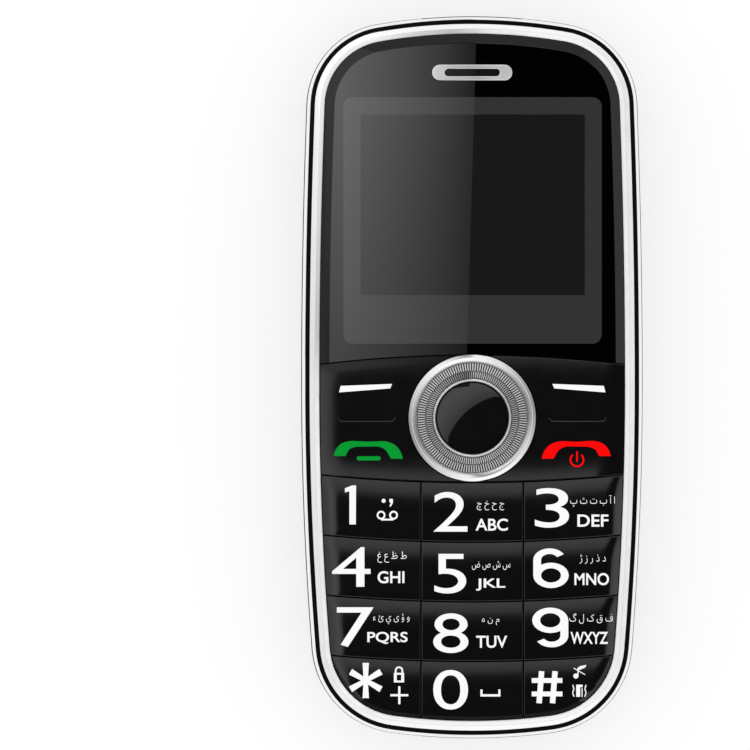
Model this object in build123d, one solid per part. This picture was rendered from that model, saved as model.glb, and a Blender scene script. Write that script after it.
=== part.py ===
from build123d import *
from math import cos, radians, sin, sqrt
import os

# A bar phone with large keys, lying on its back: X to the right, Y toward the earpiece,
# Z out of the screen. The origin is on the back, under the middle of the outline.

# Outline seen from the front: side arcs, corner arcs and a flat arch at each end.
phone_width = 53.6
phone_length = 113.4
cap_proud = 0.1
widest_y = -1.3
top_arch_r = 89.0
top_corner_r = 13.2
top_side_r = 1170.0
bottom_arch_r = 94.5
bottom_corner_r = 14.4
bottom_side_r = 520.0

# Heights of the outer layers above the back.
roll_height = 6.3
seam_z = 11.0
frame_edge_z = 13.4
frame_top_z = 14.7
flange_bottom_z = 13.9
flange_top_z = 14.6
rim_low_z = 15.1
rim_high_z = 15.55
lens_top_z = 16.0
key_crest_z = 16.1

# How far in from the outline each visible line of the face lies.
chamfer_inset = 0.78
lip_flat = 0.07
groove_inset = 1.35
rim_inset = 2.9
face_slope_width = 1.5

# The roll of the back: how far the flat back stays inside the outline.
side_roll = 8.0
top_roll = 9.0
bottom_roll = 14.0
roll_steps = 12

# Fits.
seat_gap = 0.05
key_gap = 0.15
cover_gap = 0.3
overrun = 2.0

# Walls and plates.
cover_wall = 1.2
frame_wall = 1.3
housing_wall = 1.2
mid_plate_z = 7.2
board_z = 8.4
board_thickness = 1.0
board_margin = 0.35
web_z = 11.4
web_thickness = 1.2
step_wall = 0.9

# Battery, and the bay that holds it.
battery_width = 34.0
battery_length = 53.0
battery_thickness = 5.6
battery_corner_r = 1.2
bay_play = 0.4
bay_wall = 1.0
bay_wall_z = 1.9
bay_setback = 0.1
contact_width = 9.0
contact_depth = 2.0
contact_height = 4.4
contact_blade_width = 1.2
contact_blade_pitch = 3.0
contact_blade_depth = 0.3

# Grip bands and the lines beside them.
grip_z = 6.3
grip_height = 3.7
grip_line = 0.07
grip_depth = 0.5
grip_end_margin = 0.6

# Pry notch in the rim of the cover, at the lower left corner.
notch_z = 10.25
notch_depth = 0.8
notch_reach = 9.7
notch_x = -8.0

# Loudspeaker slots in the back.
sound_slots = 5
sound_slot_length = 9.0
sound_slot_width = 0.9
sound_slot_pitch = 2.0
speaker_side = 17.3
speaker_drop = 14.1
speaker_width = 18.0
speaker_length = 13.0
speaker_height = 3.4
speaker_rim = 1.2
speaker_recess = 0.6

# Screen.
window_side = 6.6
window_height = 38.5
window_drop = 12.9
window_r = 1.5
window_lap = 0.3
screen_side = 2.7
screen_height = 28.2
screen_drop = 2.7
module_lap = 0.6
module_z = 11.6
module_top_skin = 0.4
module_wall = 1.0
panel_thickness = 0.9
holder_wall = 1.6
flex_width = 14.0
flex_thickness = 0.3
flex_tail = 5.0

# Earpiece.
earpiece_drop = 9.0
earpiece_width = 12.6
earpiece_height = 2.5
earpiece_slot_width = 8.6
earpiece_slot_height = 1.15
earpiece_mesh_drop = 0.5
earpiece_mesh_thickness = 0.3
receiver_width = 15.0
receiver_length = 6.0
receiver_height = 2.0

# Lines between the lens, the function keys and the four rows of keys.
arch_drop = 1.75
arch_r = 197.0
row_bend_r = 235.0
row_top_drop = 10.1
row_turn = 7.0
column_x = 8.0
outer_key_side = 11.2
pillow_rise = 0.25
function_crest_drop = 0.1
key_travel = 0.4
key_rest_gap = 0.1
plunger_r = 1.6
plunger_play = 0.3
plunger_gap = 0.05
key_names = [
    ["key_1", "key_2", "key_3"],
    ["key_4", "key_5", "key_6"],
    ["key_7", "key_8", "key_9"],
    ["key_star", "key_0", "key_hash"],
]

# Function keys beside the ring.
function_inner_x = 4.5
function_plunger_side = 10.2
function_plunger_reach = 6.2
ridge_drop = 0.5
ridge_side = 10.3
ridge_length = 8.8
ridge_width = 0.5
fulcrum_length = 10.0
fulcrum_width = 0.8

# Round control between the function keys.
nav_drop = 9.85
nav_r = 9.95
nav_rim_width = 1.3
nav_inner_ring_r = 6.2
nav_hole_r = 5.65
center_key_r = 5.5
center_dome = 0.3
center_travel = 0.35
carrier_z = 12.95
carrier_thickness = 0.25
carrier_outer_r = 9.0
carrier_inner_r = 6.2
carrier_foot_r = 1.0
carrier_foot_place_r = 7.9
nav_base_z = 13.6
nav_base_top_z = 14.7
nav_rim_drop = 0.55
nav_rim_flat = 0.35
knurl_top_z = 15.75
knurl_slope = 0.2
inner_ring_top_z = 16.0
inner_ring_drop = 0.25

# Rubber mat and domes under the keys.
mat_thickness = 0.6
mat_edge = 0.6
nub_r = 1.2
nub_gap = 0.1
dome_film = 0.1
dome_r = 2.5
dome_height = 0.25

# Cap, lamp and lamp lens at the top end.
cap_half_width = 8.0
cap_bottom_z = 1.5
cap_top_z = 14.1
cap_thickness = 1.8
cap_foot_depth = 4.4
cap_foot_top_z = 4.7
cap_room = 0.6
lamp_z = 7.5
lamp_lens_r = 2.5
lamp_lens_drop = 0.35
lamp_body_width = 3.5
lamp_body_height = 1.8
lamp_body_length = 2.0
lamp_gap = 0.4

# Sockets at the bottom end.
jack_side = 15.3
jack_width = 6.0
jack_height = 5.0
jack_length = 14.8
jack_bore_length = 14.0
jack_bore_r = 1.8
jack_hole_r = 3.2
jack_setback = 4.9
usb_width = 7.6
usb_height = 2.6
usb_length = 5.6
usb_skin = 0.35
usb_tongue_width = 5.0
usb_tongue_height = 0.6
usb_setback = 1.9
usb_hole_margin = 0.5

# Card holders.
sim_width = 16.2
sim_length = 15.5
sim_height = 1.8
sim_pitch = 17.0
sim_gap = 0.35
card_slot_height = 0.8
card_slot_margin = 0.8
memory_side = 14.8
memory_drop = 17.0
memory_width = 13.0
memory_length = 5.8
memory_height = 1.5

# Vibration motor, antenna, microphone and shields.
motor_side = 19.8
motor_drop = 9.4
motor_r = 2.0
motor_length = 8.0
shaft_r = 0.4
shaft_play = 0.03
weight_r = 1.85
weight_length = 3.0
weight_gap = 0.3
shaft_depth = 4.0
antenna_side = 15.8
antenna_drop = 5.6
antenna_width = 12.0
antenna_length = 2.4
antenna_height = 3.0
mic_side = 16.8
mic_setback = 6.7
mic_r = 2.0
mic_height = 1.4
shield_width = 28.0
shield_length = 18.0
shield_height = 1.6
shield_wall = 0.3
shield_drop = 29.6

# Housing screws: head under the middle housing, shank into the front housing.
screw_shank_r = 0.8
screw_head_r = 1.35
screw_head_height = 1.0
screw_length = 4.0
screw_drive_r = 0.6
screw_drive_depth = 0.5
post_r = 1.35
screw_side = 4.6
screw_low_side = 8.9
screw_top_drop = 30.6
screw_mid_rise = 52.7
screw_low_rise = 12.7

# Worked out from the sizes above.
half_width = phone_width / 2
bottom_y = -phone_length / 2
top_y = phone_length / 2 - cap_proud
lip_inset = chamfer_inset + lip_flat
flange_inset = lip_inset + seat_gap
slope_inset = rim_inset + face_slope_width
face_gap_inset = rim_inset + key_gap
front_wall_in = frame_wall + seat_gap + housing_wall
mid_wall_out = cover_wall + cover_gap
mid_wall_in = mid_wall_out + housing_wall
board_inset = mid_wall_in + board_margin
board_top_z = board_z + board_thickness
web_top_z = web_z + web_thickness
cap_face_y = phone_length / 2
cap_back_y = cap_face_y - cap_thickness
earpiece_y = top_y - earpiece_drop
window_width = phone_width - 2 * window_side
window_top_y = top_y - window_drop
window_bottom_y = window_top_y - window_height
screen_width = window_width - 2 * screen_side
screen_top_y = window_top_y - screen_drop
screen_bottom_y = screen_top_y - screen_height
module_half_width = window_width / 2 + module_lap
module_bottom_y = window_bottom_y - module_lap
module_top_y = window_top_y + module_lap
arch_y = window_bottom_y - arch_drop
nav_y = arch_y - nav_drop
row_top_y = nav_y - row_top_drop
row_centre_y = row_top_y + row_bend_r
row_pitch = (row_top_y - bottom_y - rim_inset) / len(key_names)
outer_key_x = half_width - outer_key_side
function_plunger_x = half_width - function_plunger_side
ridge_x = half_width - ridge_side
ridge_y = nav_y - ridge_drop
jack_x = half_width - jack_side
jack_front_y = bottom_y + jack_setback
usb_front_y = bottom_y + usb_setback
grip_end_x = jack_x + jack_hole_r + grip_end_margin
notch_y = bottom_y + notch_reach
cell_top_z = flange_bottom_z - module_top_skin
key_floor_z = web_top_z + key_travel + key_rest_gap
plunger_foot_z = web_z + key_travel + plunger_gap
key_edge_z = key_crest_z - pillow_rise
function_crest_z = key_crest_z - function_crest_drop
bay_half_width = battery_width / 2 + bay_play
bay_bottom_y = jack_front_y + jack_length + bay_setback + bay_wall
battery_y = bay_bottom_y + bay_play + battery_length / 2
bay_top_y = battery_y + battery_length / 2 + bay_play
sim_y = bay_top_y + contact_depth + sim_gap + sim_length / 2
memory_x = memory_side - half_width
memory_y = top_y - memory_drop
speaker_x = half_width - speaker_side
speaker_y = top_y - speaker_drop
motor_x = motor_side - half_width
motor_y = top_y - motor_drop
antenna_x = half_width - antenna_side
antenna_y = top_y - antenna_drop
mic_x = mic_side - half_width
mic_y = bottom_y + mic_setback
shield_y = top_y - shield_drop
screw_places = [
    (half_width - screw_side, top_y - screw_top_drop),
    (half_width - screw_side, bottom_y + screw_mid_rise),
    (half_width - screw_low_side, bottom_y + screw_low_rise),
]
row_radii = [row_centre_y - row_top_y + row_pitch * row for row in range(len(key_names) + 1)]
key_columns = [-outer_key_x, 0, outer_key_x]


def block(x0, x1, y0, y1, z0, z1):
    """Box between two corners."""
    middle = Pos((x0 + x1) / 2, (y0 + y1) / 2, (z0 + z1) / 2)
    return middle * Box(abs(x1 - x0), abs(y1 - y0), abs(z1 - z0))


def post(x, y, r, z0, z1):
    """Upright round bar."""
    return Pos(x, y, (z0 + z1) / 2) * Cylinder(r, z1 - z0)


def bar_y(x, z, r, y0, y1):
    """Round bar along Y."""
    return Pos(x, (y0 + y1) / 2, z) * Rot(90, 0, 0) * Cylinder(r, y1 - y0)


def bar_x(y, z, r, x0, x1):
    """Round bar along X."""
    return Pos((x0 + x1) / 2, y, z) * Rot(0, 90, 0) * Cylinder(r, x1 - x0)


def ring(x, y, outer_r, inner_r, z0, z1):
    """Flat round ring."""
    return post(x, y, outer_r, z0, z1) - post(x, y, inner_r, z0 - overrun, z1 + overrun)


def stadium(width, height, y, z0, z1):
    """Upright slot shape with round ends, centred on the middle line."""
    return extrude(Pos(0, y, z0) * SlotOverall(width, height), z1 - z0)


def end_points(half, reach, arch_r, corner_r, side_r):
    """Corner points of a half outline whose sides start upright at height 0.

    Gives the arch end, the corner's middle, the side end and the side's middle.
    """
    arch = Vector(0, reach - arch_r)
    side = Vector(half - side_r, 0)
    to_arch = arch_r - corner_r
    to_side = side_r - corner_r
    span = side - arch
    along = (span.length ** 2 + to_arch ** 2 - to_side ** 2) / (2 * span.length)
    across = sqrt(to_arch ** 2 - along ** 2)
    step = span.normalized()
    normal = Vector(-step.Y, step.X)
    options = [arch + step * along + normal * across * way for way in (1, -1)]
    corner = max(options, key=lambda centre: centre.X + centre.Y)
    arch_end = corner + (corner - arch).normalized() * corner_r
    side_end = corner + (corner - side).normalized() * corner_r
    middle = (arch_end - corner + side_end - corner).normalized()
    side_half = (side_end - side + Vector(half, 0) - side).normalized()
    return arch_end, corner + middle * corner_r, side_end, side + side_half * side_r


def level(z, side=0, top=None, bottom=None):
    """Face of the outline at height z, moved in by its own amount at sides and ends."""
    top = side if top is None else top
    bottom = side if bottom is None else bottom
    half = half_width - side
    upper_reach = top_y - top - widest_y
    lower_reach = widest_y - bottom_y - bottom
    upper = end_points(half, upper_reach, top_arch_r - top, top_corner_r - side, top_side_r - side)
    lower = end_points(
        half, lower_reach, bottom_arch_r - bottom, bottom_corner_r - side, bottom_side_r - side
    )

    def at(point, across, up):
        return Vector(point.X * across, widest_y + point.Y * up, z)

    edges = []
    for across in (1, -1):
        for points, up in ((upper, 1), (lower, -1)):
            arch_end, corner_mid, side_end, side_mid = [at(p, across, up) for p in points]
            edges.append(ThreePointArc(arch_end, corner_mid, side_end))
            edges.append(ThreePointArc(side_end, side_mid, Vector(half * across, widest_y, z)))
    for points, up, reach in ((upper, 1, upper_reach), (lower, -1, lower_reach)):
        ends = [at(points[0], across, up) for across in (-1, 1)]
        edges.append(ThreePointArc(ends[0], Vector(0, widest_y + reach * up, z), ends[1]))
    return Face(Wire(edges))


def slab(inset, z0, z1):
    """Upright solid of the outline moved in by one amount."""
    return extrude(level(z0, inset), z1 - z0, dir=(0, 0, 1))


def slope(inset0, z0, inset1, z1):
    """Straight-sided ring step between two levels."""
    return loft([level(z0, inset0), level(z1, inset1)], ruled=True)


def shell(skin):
    """Outer shape of the rear half, or the same shape a skin further in."""
    levels = []
    for count in range(roll_steps + 1):
        turn = radians(90 * count / roll_steps)
        away = 1 - sin(turn)
        z = skin + (roll_height - skin) * (1 - cos(turn))
        levels.append(level(z, skin + side_roll * away, skin + top_roll * away, skin + bottom_roll * away))
    return loft(levels, ruled=True) + slab(skin, roll_height, seam_z)


def cap_pocket(gap, z0):
    """Room for the end cap, from height z0 up."""
    return block(
        -cap_half_width - gap, cap_half_width + gap,
        cap_back_y - gap, cap_face_y + overrun,
        z0, cap_top_z + gap,
    )


def cap_foot(gap):
    """Deeper lower part of the end cap, where the back rolls away under it."""
    return block(
        -cap_half_width - gap, cap_half_width + gap,
        cap_face_y - cap_foot_depth - gap, cap_back_y,
        cap_bottom_z - gap, cap_foot_top_z + gap,
    )


def face_envelope():
    """Everything under the sloped edge of the face."""
    rise = (lens_top_z - rim_high_z) / face_slope_width
    high_z = key_crest_z + function_crest_drop
    high_inset = face_gap_inset + (high_z - rim_high_z) / rise
    return slab(face_gap_inset, web_z, rim_high_z) + slope(face_gap_inset, rim_high_z, high_inset, high_z)


def below_arch(gap):
    """Tall cylinder whose upper edge is the line under the lens."""
    return post(0, arch_y - arch_r, arch_r - gap, web_z - overrun, key_crest_z + overrun)


def nav_well(gap):
    """Round room for the control ring."""
    return post(0, nav_y, nav_r + gap, web_z - overrun, key_crest_z + overrun)


def key_place(row, column_x_now):
    """Middle of a key on the curved row."""
    r = (row_radii[row] + row_radii[row + 1]) / 2
    return column_x_now, row_centre_y - sqrt(r ** 2 - column_x_now ** 2)


def row_body(row):
    """One whole row: a pillow profile turned about the far centre of the rows."""
    near = row_centre_y - row_radii[row] - key_gap / 2
    far = row_centre_y - row_radii[row + 1] + key_gap / 2
    if row == len(key_names) - 1:
        far = bottom_y
    low, edge = key_floor_z, key_edge_z
    corners = [Vector(0, near, low), Vector(0, near, edge), Vector(0, far, edge), Vector(0, far, low)]
    crest = Vector(0, (near + far) / 2, key_crest_z)
    profile = Face(Wire([
        Line(corners[0], corners[1]),
        ThreePointArc(corners[1], crest, corners[2]),
        Line(corners[2], corners[3]),
        Line(corners[3], corners[0]),
    ]))
    axis = Axis((0, row_centre_y, 0), (0, 0, 1))
    return revolve(profile.rotate(axis, -row_turn), axis, 2 * row_turn)


def column_block(column):
    """Width of one column of keys."""
    edges = [-half_width, -column_x, column_x, half_width]
    x0 = edges[column] + key_gap / 2
    x1 = edges[column + 1] - key_gap / 2
    return block(x0, x1, bottom_y, row_top_y + row_pitch, web_z, key_crest_z + overrun)


def function_side(hand):
    """Left or right function key: one rocking plate with a ridge and two plungers."""
    near, far = nav_y + nav_r, nav_y - nav_r
    edge_z = function_crest_z - pillow_rise
    corners = [Vector(0, near, key_floor_z), Vector(0, near, edge_z), Vector(0, far, edge_z),
               Vector(0, far, key_floor_z)]
    profile = Face(Wire([
        Line(corners[0], corners[1]),
        ThreePointArc(corners[1], Vector(0, nav_y, function_crest_z), corners[2]),
        Line(corners[2], corners[3]),
        Line(corners[3], corners[0]),
    ]))
    plate = extrude(profile, half_width, dir=(hand, 0, 0))
    plate &= face_envelope()
    plate &= below_arch(key_gap / 2)
    plate &= post(0, row_centre_y, row_radii[0] - key_gap / 2, web_z - overrun, key_crest_z + overrun)
    plate -= nav_well(key_gap)
    plate -= block(0, hand * function_inner_x, bottom_y, top_y, web_z, key_crest_z + overrun)
    ridge = Pos(hand * ridge_x, ridge_y, key_floor_z + overrun / 2) * SlotOverall(ridge_length, ridge_width)
    plate += extrude(ridge, key_crest_z - key_floor_z - overrun / 2)
    for reach in (function_plunger_reach, -function_plunger_reach):
        plate += post(hand * function_plunger_x, nav_y + reach, plunger_r, plunger_foot_z, key_floor_z)
    return plate


def key(row, column):
    """One number key: its share of the row, with a plunger underneath."""
    cap = row_body(row) & column_block(column) & face_envelope()
    x, y = key_place(row, key_columns[column])
    return cap + post(x, y, plunger_r, plunger_foot_z, key_floor_z)


def key_centres():
    """Middles of the twelve number keys."""
    return [key_place(row, x) for row in range(len(key_names)) for x in key_columns]


def function_centres():
    """Middles of the four ends of the function plates."""
    return [
        (hand * function_plunger_x, nav_y + reach)
        for hand in (-1, 1)
        for reach in (function_plunger_reach, -function_plunger_reach)
    ]


def foot_centres():
    """Four feet of the ring's carrier, up, down, left and right."""
    r = carrier_foot_place_r
    return [(0, nav_y + r), (0, nav_y - r), (r, nav_y), (-r, nav_y)]


def screw_centres():
    """All screw places, mirrored left and right."""
    return [(x * hand, y) for x, y in screw_places for hand in (1, -1)]


def chrome_side_frame():
    """Bright band round the side, chamfered toward the face, with a lip over the housing."""
    body = slab(0, seam_z, frame_edge_z)
    body += slope(0, frame_edge_z, chamfer_inset, frame_top_z)
    body -= slab(frame_wall, seam_z - overrun, flange_bottom_z)
    body -= slab(lip_inset, flange_bottom_z, frame_top_z + overrun)
    return body - cap_pocket(seat_gap, bottom_y)


def front_trim_ring():
    """Thin bright ring between the groove and the face."""
    middle = (groove_inset + rim_inset) / 2
    body = slab(groove_inset, flange_top_z, rim_low_z)
    body += slope(groove_inset, rim_low_z, middle, rim_high_z)
    return body - slab(rim_inset, flange_top_z - overrun, rim_high_z + overrun)


def front_housing():
    """Black tub behind the face: flange, wall, window plate and the web under the keys."""
    body = slab(flange_inset, flange_bottom_z, flange_top_z)
    body += slab(frame_wall + seat_gap, seam_z, flange_bottom_z)
    body -= slab(front_wall_in, seam_z - overrun, flange_bottom_z)
    keypad = slab(rim_inset, flange_bottom_z - overrun, flange_top_z + overrun) & below_arch(0)
    body -= keypad
    web = slab(front_wall_in, web_z, web_top_z) & below_arch(0)
    body += web
    step = slab(front_wall_in, web_z, flange_bottom_z) & below_arch(-step_wall)
    body += step - below_arch(0)
    window = RectangleRounded(
        window_width - 2 * window_lap, window_top_y - window_bottom_y - 2 * window_lap, window_r
    )
    middle_y = (window_top_y + window_bottom_y) / 2
    body -= extrude(Pos(0, middle_y, flange_bottom_z - overrun) * window, 2 * overrun)
    body -= stadium(earpiece_slot_width, earpiece_slot_height, earpiece_y,
                    flange_bottom_z - overrun, flange_top_z + overrun)
    for x, y in key_centres() + function_centres() + [(0, nav_y)]:
        body -= post(x, y, plunger_r + plunger_play, web_z - overrun, web_top_z + overrun)
    for x, y in foot_centres():
        body -= post(x, y, carrier_foot_r + 2 * plunger_play, web_z - overrun, web_top_z + overrun)
    for hand in (-1, 1):
        x0 = hand * ridge_x - fulcrum_length / 2
        y0 = nav_y - fulcrum_width / 2
        body += block(x0, x0 + fulcrum_length, y0, y0 + fulcrum_width, web_top_z, key_floor_z - seat_gap)
    for x, y in screw_centres():
        top = flange_bottom_z if y > arch_y else web_z
        body += post(x, y, post_r, board_top_z, top)
        body -= post(x, y, screw_shank_r + seat_gap, board_top_z, mid_plate_z + screw_length + seat_gap)
    body -= nav_well(2 * key_gap) - post(0, nav_y, nav_r + overrun, 0, web_top_z)
    return body - cap_pocket(0, board_z)


def display_lens():
    """One clear pane over screen and earpiece, printed black round the window."""
    body = slab(rim_inset + seat_gap, flange_top_z, rim_high_z)
    body += slope(rim_inset + seat_gap, rim_high_z, slope_inset, lens_top_z)
    body -= below_arch(-key_gap / 2)
    body -= nav_well(key_gap)
    return body - stadium(earpiece_width + 2 * seat_gap, earpiece_height + 2 * seat_gap, earpiece_y,
                          flange_top_z - overrun, lens_top_z + overrun)


def earpiece_trim():
    """Bright oval ring in the lens."""
    body = stadium(earpiece_width, earpiece_height, earpiece_y, flange_top_z, key_crest_z)
    return body - stadium(earpiece_slot_width, earpiece_slot_height, earpiece_y,
                          flange_top_z - overrun, key_crest_z + overrun)


def earpiece_mesh():
    """Woven screen that sits low in the ear slot."""
    top = lens_top_z - earpiece_mesh_drop
    return stadium(earpiece_slot_width, earpiece_slot_height, earpiece_y, top - earpiece_mesh_thickness, top)


def lcd_frame():
    """Metal tray of the screen module, open over the picture."""
    body = block(-module_half_width, module_half_width, module_bottom_y, module_top_y, module_z,
                 flange_bottom_z)
    body -= block(module_wall - module_half_width, module_half_width - module_wall,
                  module_bottom_y + module_wall, module_top_y - module_wall,
                  module_z - overrun, cell_top_z)
    return body - block(-screen_width / 2, screen_width / 2, screen_bottom_y, screen_top_y,
                        module_z, flange_bottom_z + overrun)


def screen_layer(z0, z1):
    """One glass or light layer inside the tray."""
    gap = module_wall + seat_gap
    return block(gap - module_half_width, module_half_width - gap,
                 module_bottom_y + gap, module_top_y - gap, z0, z1)


def lcd_panel():
    """Picture glass, against the tray's upper skin."""
    return screen_layer(cell_top_z - panel_thickness, cell_top_z)


def lcd_backlight():
    """Light unit behind the glass."""
    return screen_layer(module_z, cell_top_z - panel_thickness)


def lcd_holder():
    """Plastic frame that stands on the board and carries the screen module."""
    outer = block(-module_half_width, module_half_width, module_bottom_y, module_top_y,
                  board_top_z, module_z)
    opening = block(holder_wall - module_half_width, module_half_width - holder_wall,
                    module_bottom_y + holder_wall, module_top_y - holder_wall,
                    board_top_z - overrun, module_z + overrun)
    return outer - opening


def lcd_flex():
    """Ribbon from the light unit down to the board."""
    y0 = module_bottom_y + holder_wall + flex_thickness
    drop = block(-flex_width / 2, flex_width / 2, y0, y0 + flex_thickness, board_top_z, module_z)
    foot = block(-flex_width / 2, flex_width / 2, y0, y0 + flex_tail, board_top_z,
                 board_top_z + flex_thickness)
    return drop + foot


def nav_carrier():
    """Lower half of the round control: tips up and down, with four feet on the mat."""
    body = ring(0, nav_y, carrier_outer_r, carrier_inner_r, carrier_z, carrier_z + carrier_thickness)
    for x, y in foot_centres():
        body += post(x, y, carrier_foot_r, plunger_foot_z, carrier_z)
    return body


def turned(points):
    """Ring turned from a closed outline of (radius, height) points."""
    corners = [Vector(r, 0, z) for r, z in points]
    edges = [Line(a, b) for a, b in zip(corners, corners[1:] + corners[:1])]
    return Pos(0, nav_y, 0) * revolve(Face(Wire(edges)), Axis.Z, 360)


def nav_ring():
    """Bright outer rim on a flat base."""
    inner = nav_r - nav_rim_width
    crown = [(nav_r, key_crest_z - nav_rim_drop), (nav_r - nav_rim_flat, key_crest_z),
             (inner + nav_rim_flat, key_crest_z), (inner, key_crest_z - nav_rim_drop)]
    return turned([(nav_hole_r, nav_base_z), (nav_r, nav_base_z)] + crown
                  + [(inner, nav_base_top_z), (nav_hole_r, nav_base_top_z)])


def nav_knurl_ring():
    """Finely toothed ring between the two bright rings."""
    outer = nav_r - nav_rim_width - seat_gap
    inner = nav_inner_ring_r + seat_gap
    middle = (outer + inner) / 2
    return turned([(inner, nav_base_top_z), (outer, nav_base_top_z), (outer, knurl_top_z),
                   (middle, knurl_top_z - knurl_slope), (inner, knurl_top_z)])


def nav_inner_ring():
    """Narrow bright ring round the centre key."""
    middle = (nav_inner_ring_r + nav_hole_r) / 2
    return turned([(nav_hole_r, nav_base_top_z), (nav_inner_ring_r, nav_base_top_z),
                   (nav_inner_ring_r, inner_ring_top_z - inner_ring_drop), (middle, inner_ring_top_z),
                   (nav_hole_r, inner_ring_top_z - inner_ring_drop)])


def center_key():
    """Domed glossy button in the middle of the ring."""
    edge_z = inner_ring_top_z - center_dome
    profile = Face(Wire([
        Line(Vector(0, 0, key_floor_z), Vector(center_key_r, 0, key_floor_z)),
        Line(Vector(center_key_r, 0, key_floor_z), Vector(center_key_r, 0, edge_z)),
        dome_arc(center_key_r, edge_z, inner_ring_top_z),
        Line(Vector(0, 0, inner_ring_top_z), Vector(0, 0, key_floor_z)),
    ]))
    body = Pos(0, nav_y, 0) * revolve(profile, Axis.Z, 360)
    return body + post(0, nav_y, plunger_r, plunger_foot_z, key_floor_z)


def dome_arc(r, edge_z, crown_z):
    """Half of a shallow dome's arc, from its rim to its crown."""
    rise = crown_z - edge_z
    ball_r = (r ** 2 + rise ** 2) / (2 * rise)
    centre_z = crown_z - ball_r
    middle_r = r / 2
    return ThreePointArc(Vector(r, 0, edge_z),
                         Vector(middle_r, 0, centre_z + sqrt(ball_r ** 2 - middle_r ** 2)),
                         Vector(0, 0, crown_z))


def nub_centres():
    """Every place where the mat presses a dome."""
    return key_centres() + function_centres() + foot_centres() + [(0, nav_y)]


def keypad_mat():
    """Rubber sheet under the web, with a nub over each dome."""
    body = slab(front_wall_in + mat_edge, web_z - mat_thickness, web_z) & below_arch(mat_edge)
    for x, y in nub_centres():
        body += post(x, y, nub_r, board_top_z + dome_film + dome_height + nub_gap, web_z - mat_thickness)
    for x, y in screw_centres():
        body -= post(x, y, post_r + mat_edge / 2, web_z - mat_thickness - overrun, web_z + overrun)
    return body


def dome_sheet():
    """Film on the board with a snap dome under each nub."""
    body = slab(board_inset + mat_edge, board_top_z, board_top_z + dome_film) & block(
        -half_width, half_width, bottom_y, arch_y - mat_edge, board_top_z, board_top_z + dome_film
    )
    for x, y in nub_centres():
        r = dome_r if (x, y) not in foot_centres() + [(0, nav_y)] else dome_r - mat_edge
        z = board_top_z + dome_film
        body += Pos(x, y, z) * Cone(r, r / 2, dome_height, align=(Align.CENTER, Align.CENTER, Align.MIN))
    for x, y in screw_centres():
        body -= post(x, y, post_r + mat_edge / 2, board_top_z - overrun, board_top_z + overrun)
    body -= block(mic_x - mic_r - mat_edge, mic_x + mic_r + mat_edge, bottom_y, mic_y + mic_r + mat_edge,
                  board_top_z - overrun, board_top_z + overrun)
    return body


def main_board():
    """Circuit board from end to end."""
    body = slab(board_inset, board_z, board_top_z)
    for x, y in screw_centres():
        body -= post(x, y, screw_shank_r + seat_gap * 2, board_z - overrun, board_top_z + overrun)
    return body


def shield_can():
    """Folded metal lid over the radio parts, open below."""
    x, y0, y1 = shield_width / 2, shield_y - shield_length / 2, shield_y + shield_length / 2
    top = board_top_z + shield_height
    body = block(-x, x, y0, y1, board_top_z, top)
    return body - block(shield_wall - x, x - shield_wall, y0 + shield_wall, y1 - shield_wall,
                        board_top_z - overrun, top - shield_wall)


def earpiece_receiver():
    """Small speaker under the ear slot."""
    x, y = receiver_width / 2, receiver_length / 2
    return block(-x, x, earpiece_y - y, earpiece_y + y, flange_bottom_z - receiver_height, flange_bottom_z)


def microphone():
    """Round microphone in its boot near the bottom end."""
    return post(mic_x, mic_y, mic_r, board_top_z, board_top_z + mic_height)


def mid_housing():
    """Inner housing behind the board, with the battery bay and seats for the sockets."""
    body = slab(mid_wall_out, mid_plate_z, seam_z) - slab(mid_wall_in, board_z, seam_z + overrun)
    outer_x = bay_half_width + bay_wall
    bay = block(-outer_x, outer_x, bay_bottom_y - bay_wall, bay_top_y + bay_wall, bay_wall_z, mid_plate_z)
    bay -= block(-bay_half_width, bay_half_width, bay_bottom_y, bay_top_y, bay_wall_z - overrun, mid_plate_z)
    contact = contact_width / 2 + bay_play
    bay -= block(-contact, contact, bay_top_y - overrun, bay_top_y + bay_wall + overrun,
                 bay_wall_z - overrun, mid_plate_z)
    body += bay
    body -= jack_box(seat_gap)
    body -= plug_way()
    body -= usb_box(seat_gap)
    lamp = lamp_body_width / 2 + seat_gap
    body -= block(-lamp, lamp, lamp_back_y() - seat_gap, top_y + overrun, mid_plate_z - overrun, board_z)
    body -= bar_y(0, lamp_z, lamp_lens_r + 2 * seat_gap, lamp_back_y(), top_y + overrun)
    for x, y in screw_centres():
        body -= post(x, y, screw_shank_r + seat_gap, mid_plate_z - overrun, board_z + overrun)
    return body - cap_pocket(0, mid_plate_z - overrun)


def jack_box(gap):
    """Outer block of the headphone socket, grown by a gap."""
    return block(jack_x - jack_width / 2 - gap, jack_x + jack_width / 2 + gap,
                 jack_front_y - gap, jack_front_y + jack_length + gap,
                 board_z - jack_height - gap, board_z)


def plug_way():
    """Round way for the headphone plug from outside to the socket's face."""
    return bar_y(jack_x, board_z - jack_height / 2, jack_hole_r, bottom_y - overrun, jack_front_y + overrun)


def headphone_jack():
    """Socket block with a round bore from the bottom end."""
    bore = bar_y(jack_x, board_z - jack_height / 2, jack_bore_r, jack_front_y - overrun,
                 jack_front_y + jack_bore_length)
    return jack_box(0) - bore


def usb_box(gap):
    """Outer box of the charging socket, grown by a gap and open to the end."""
    return block(-usb_width / 2 - gap, usb_width / 2 + gap, usb_front_y - gap,
                 usb_front_y + usb_length + gap, board_z - usb_height - gap, board_z)


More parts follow.
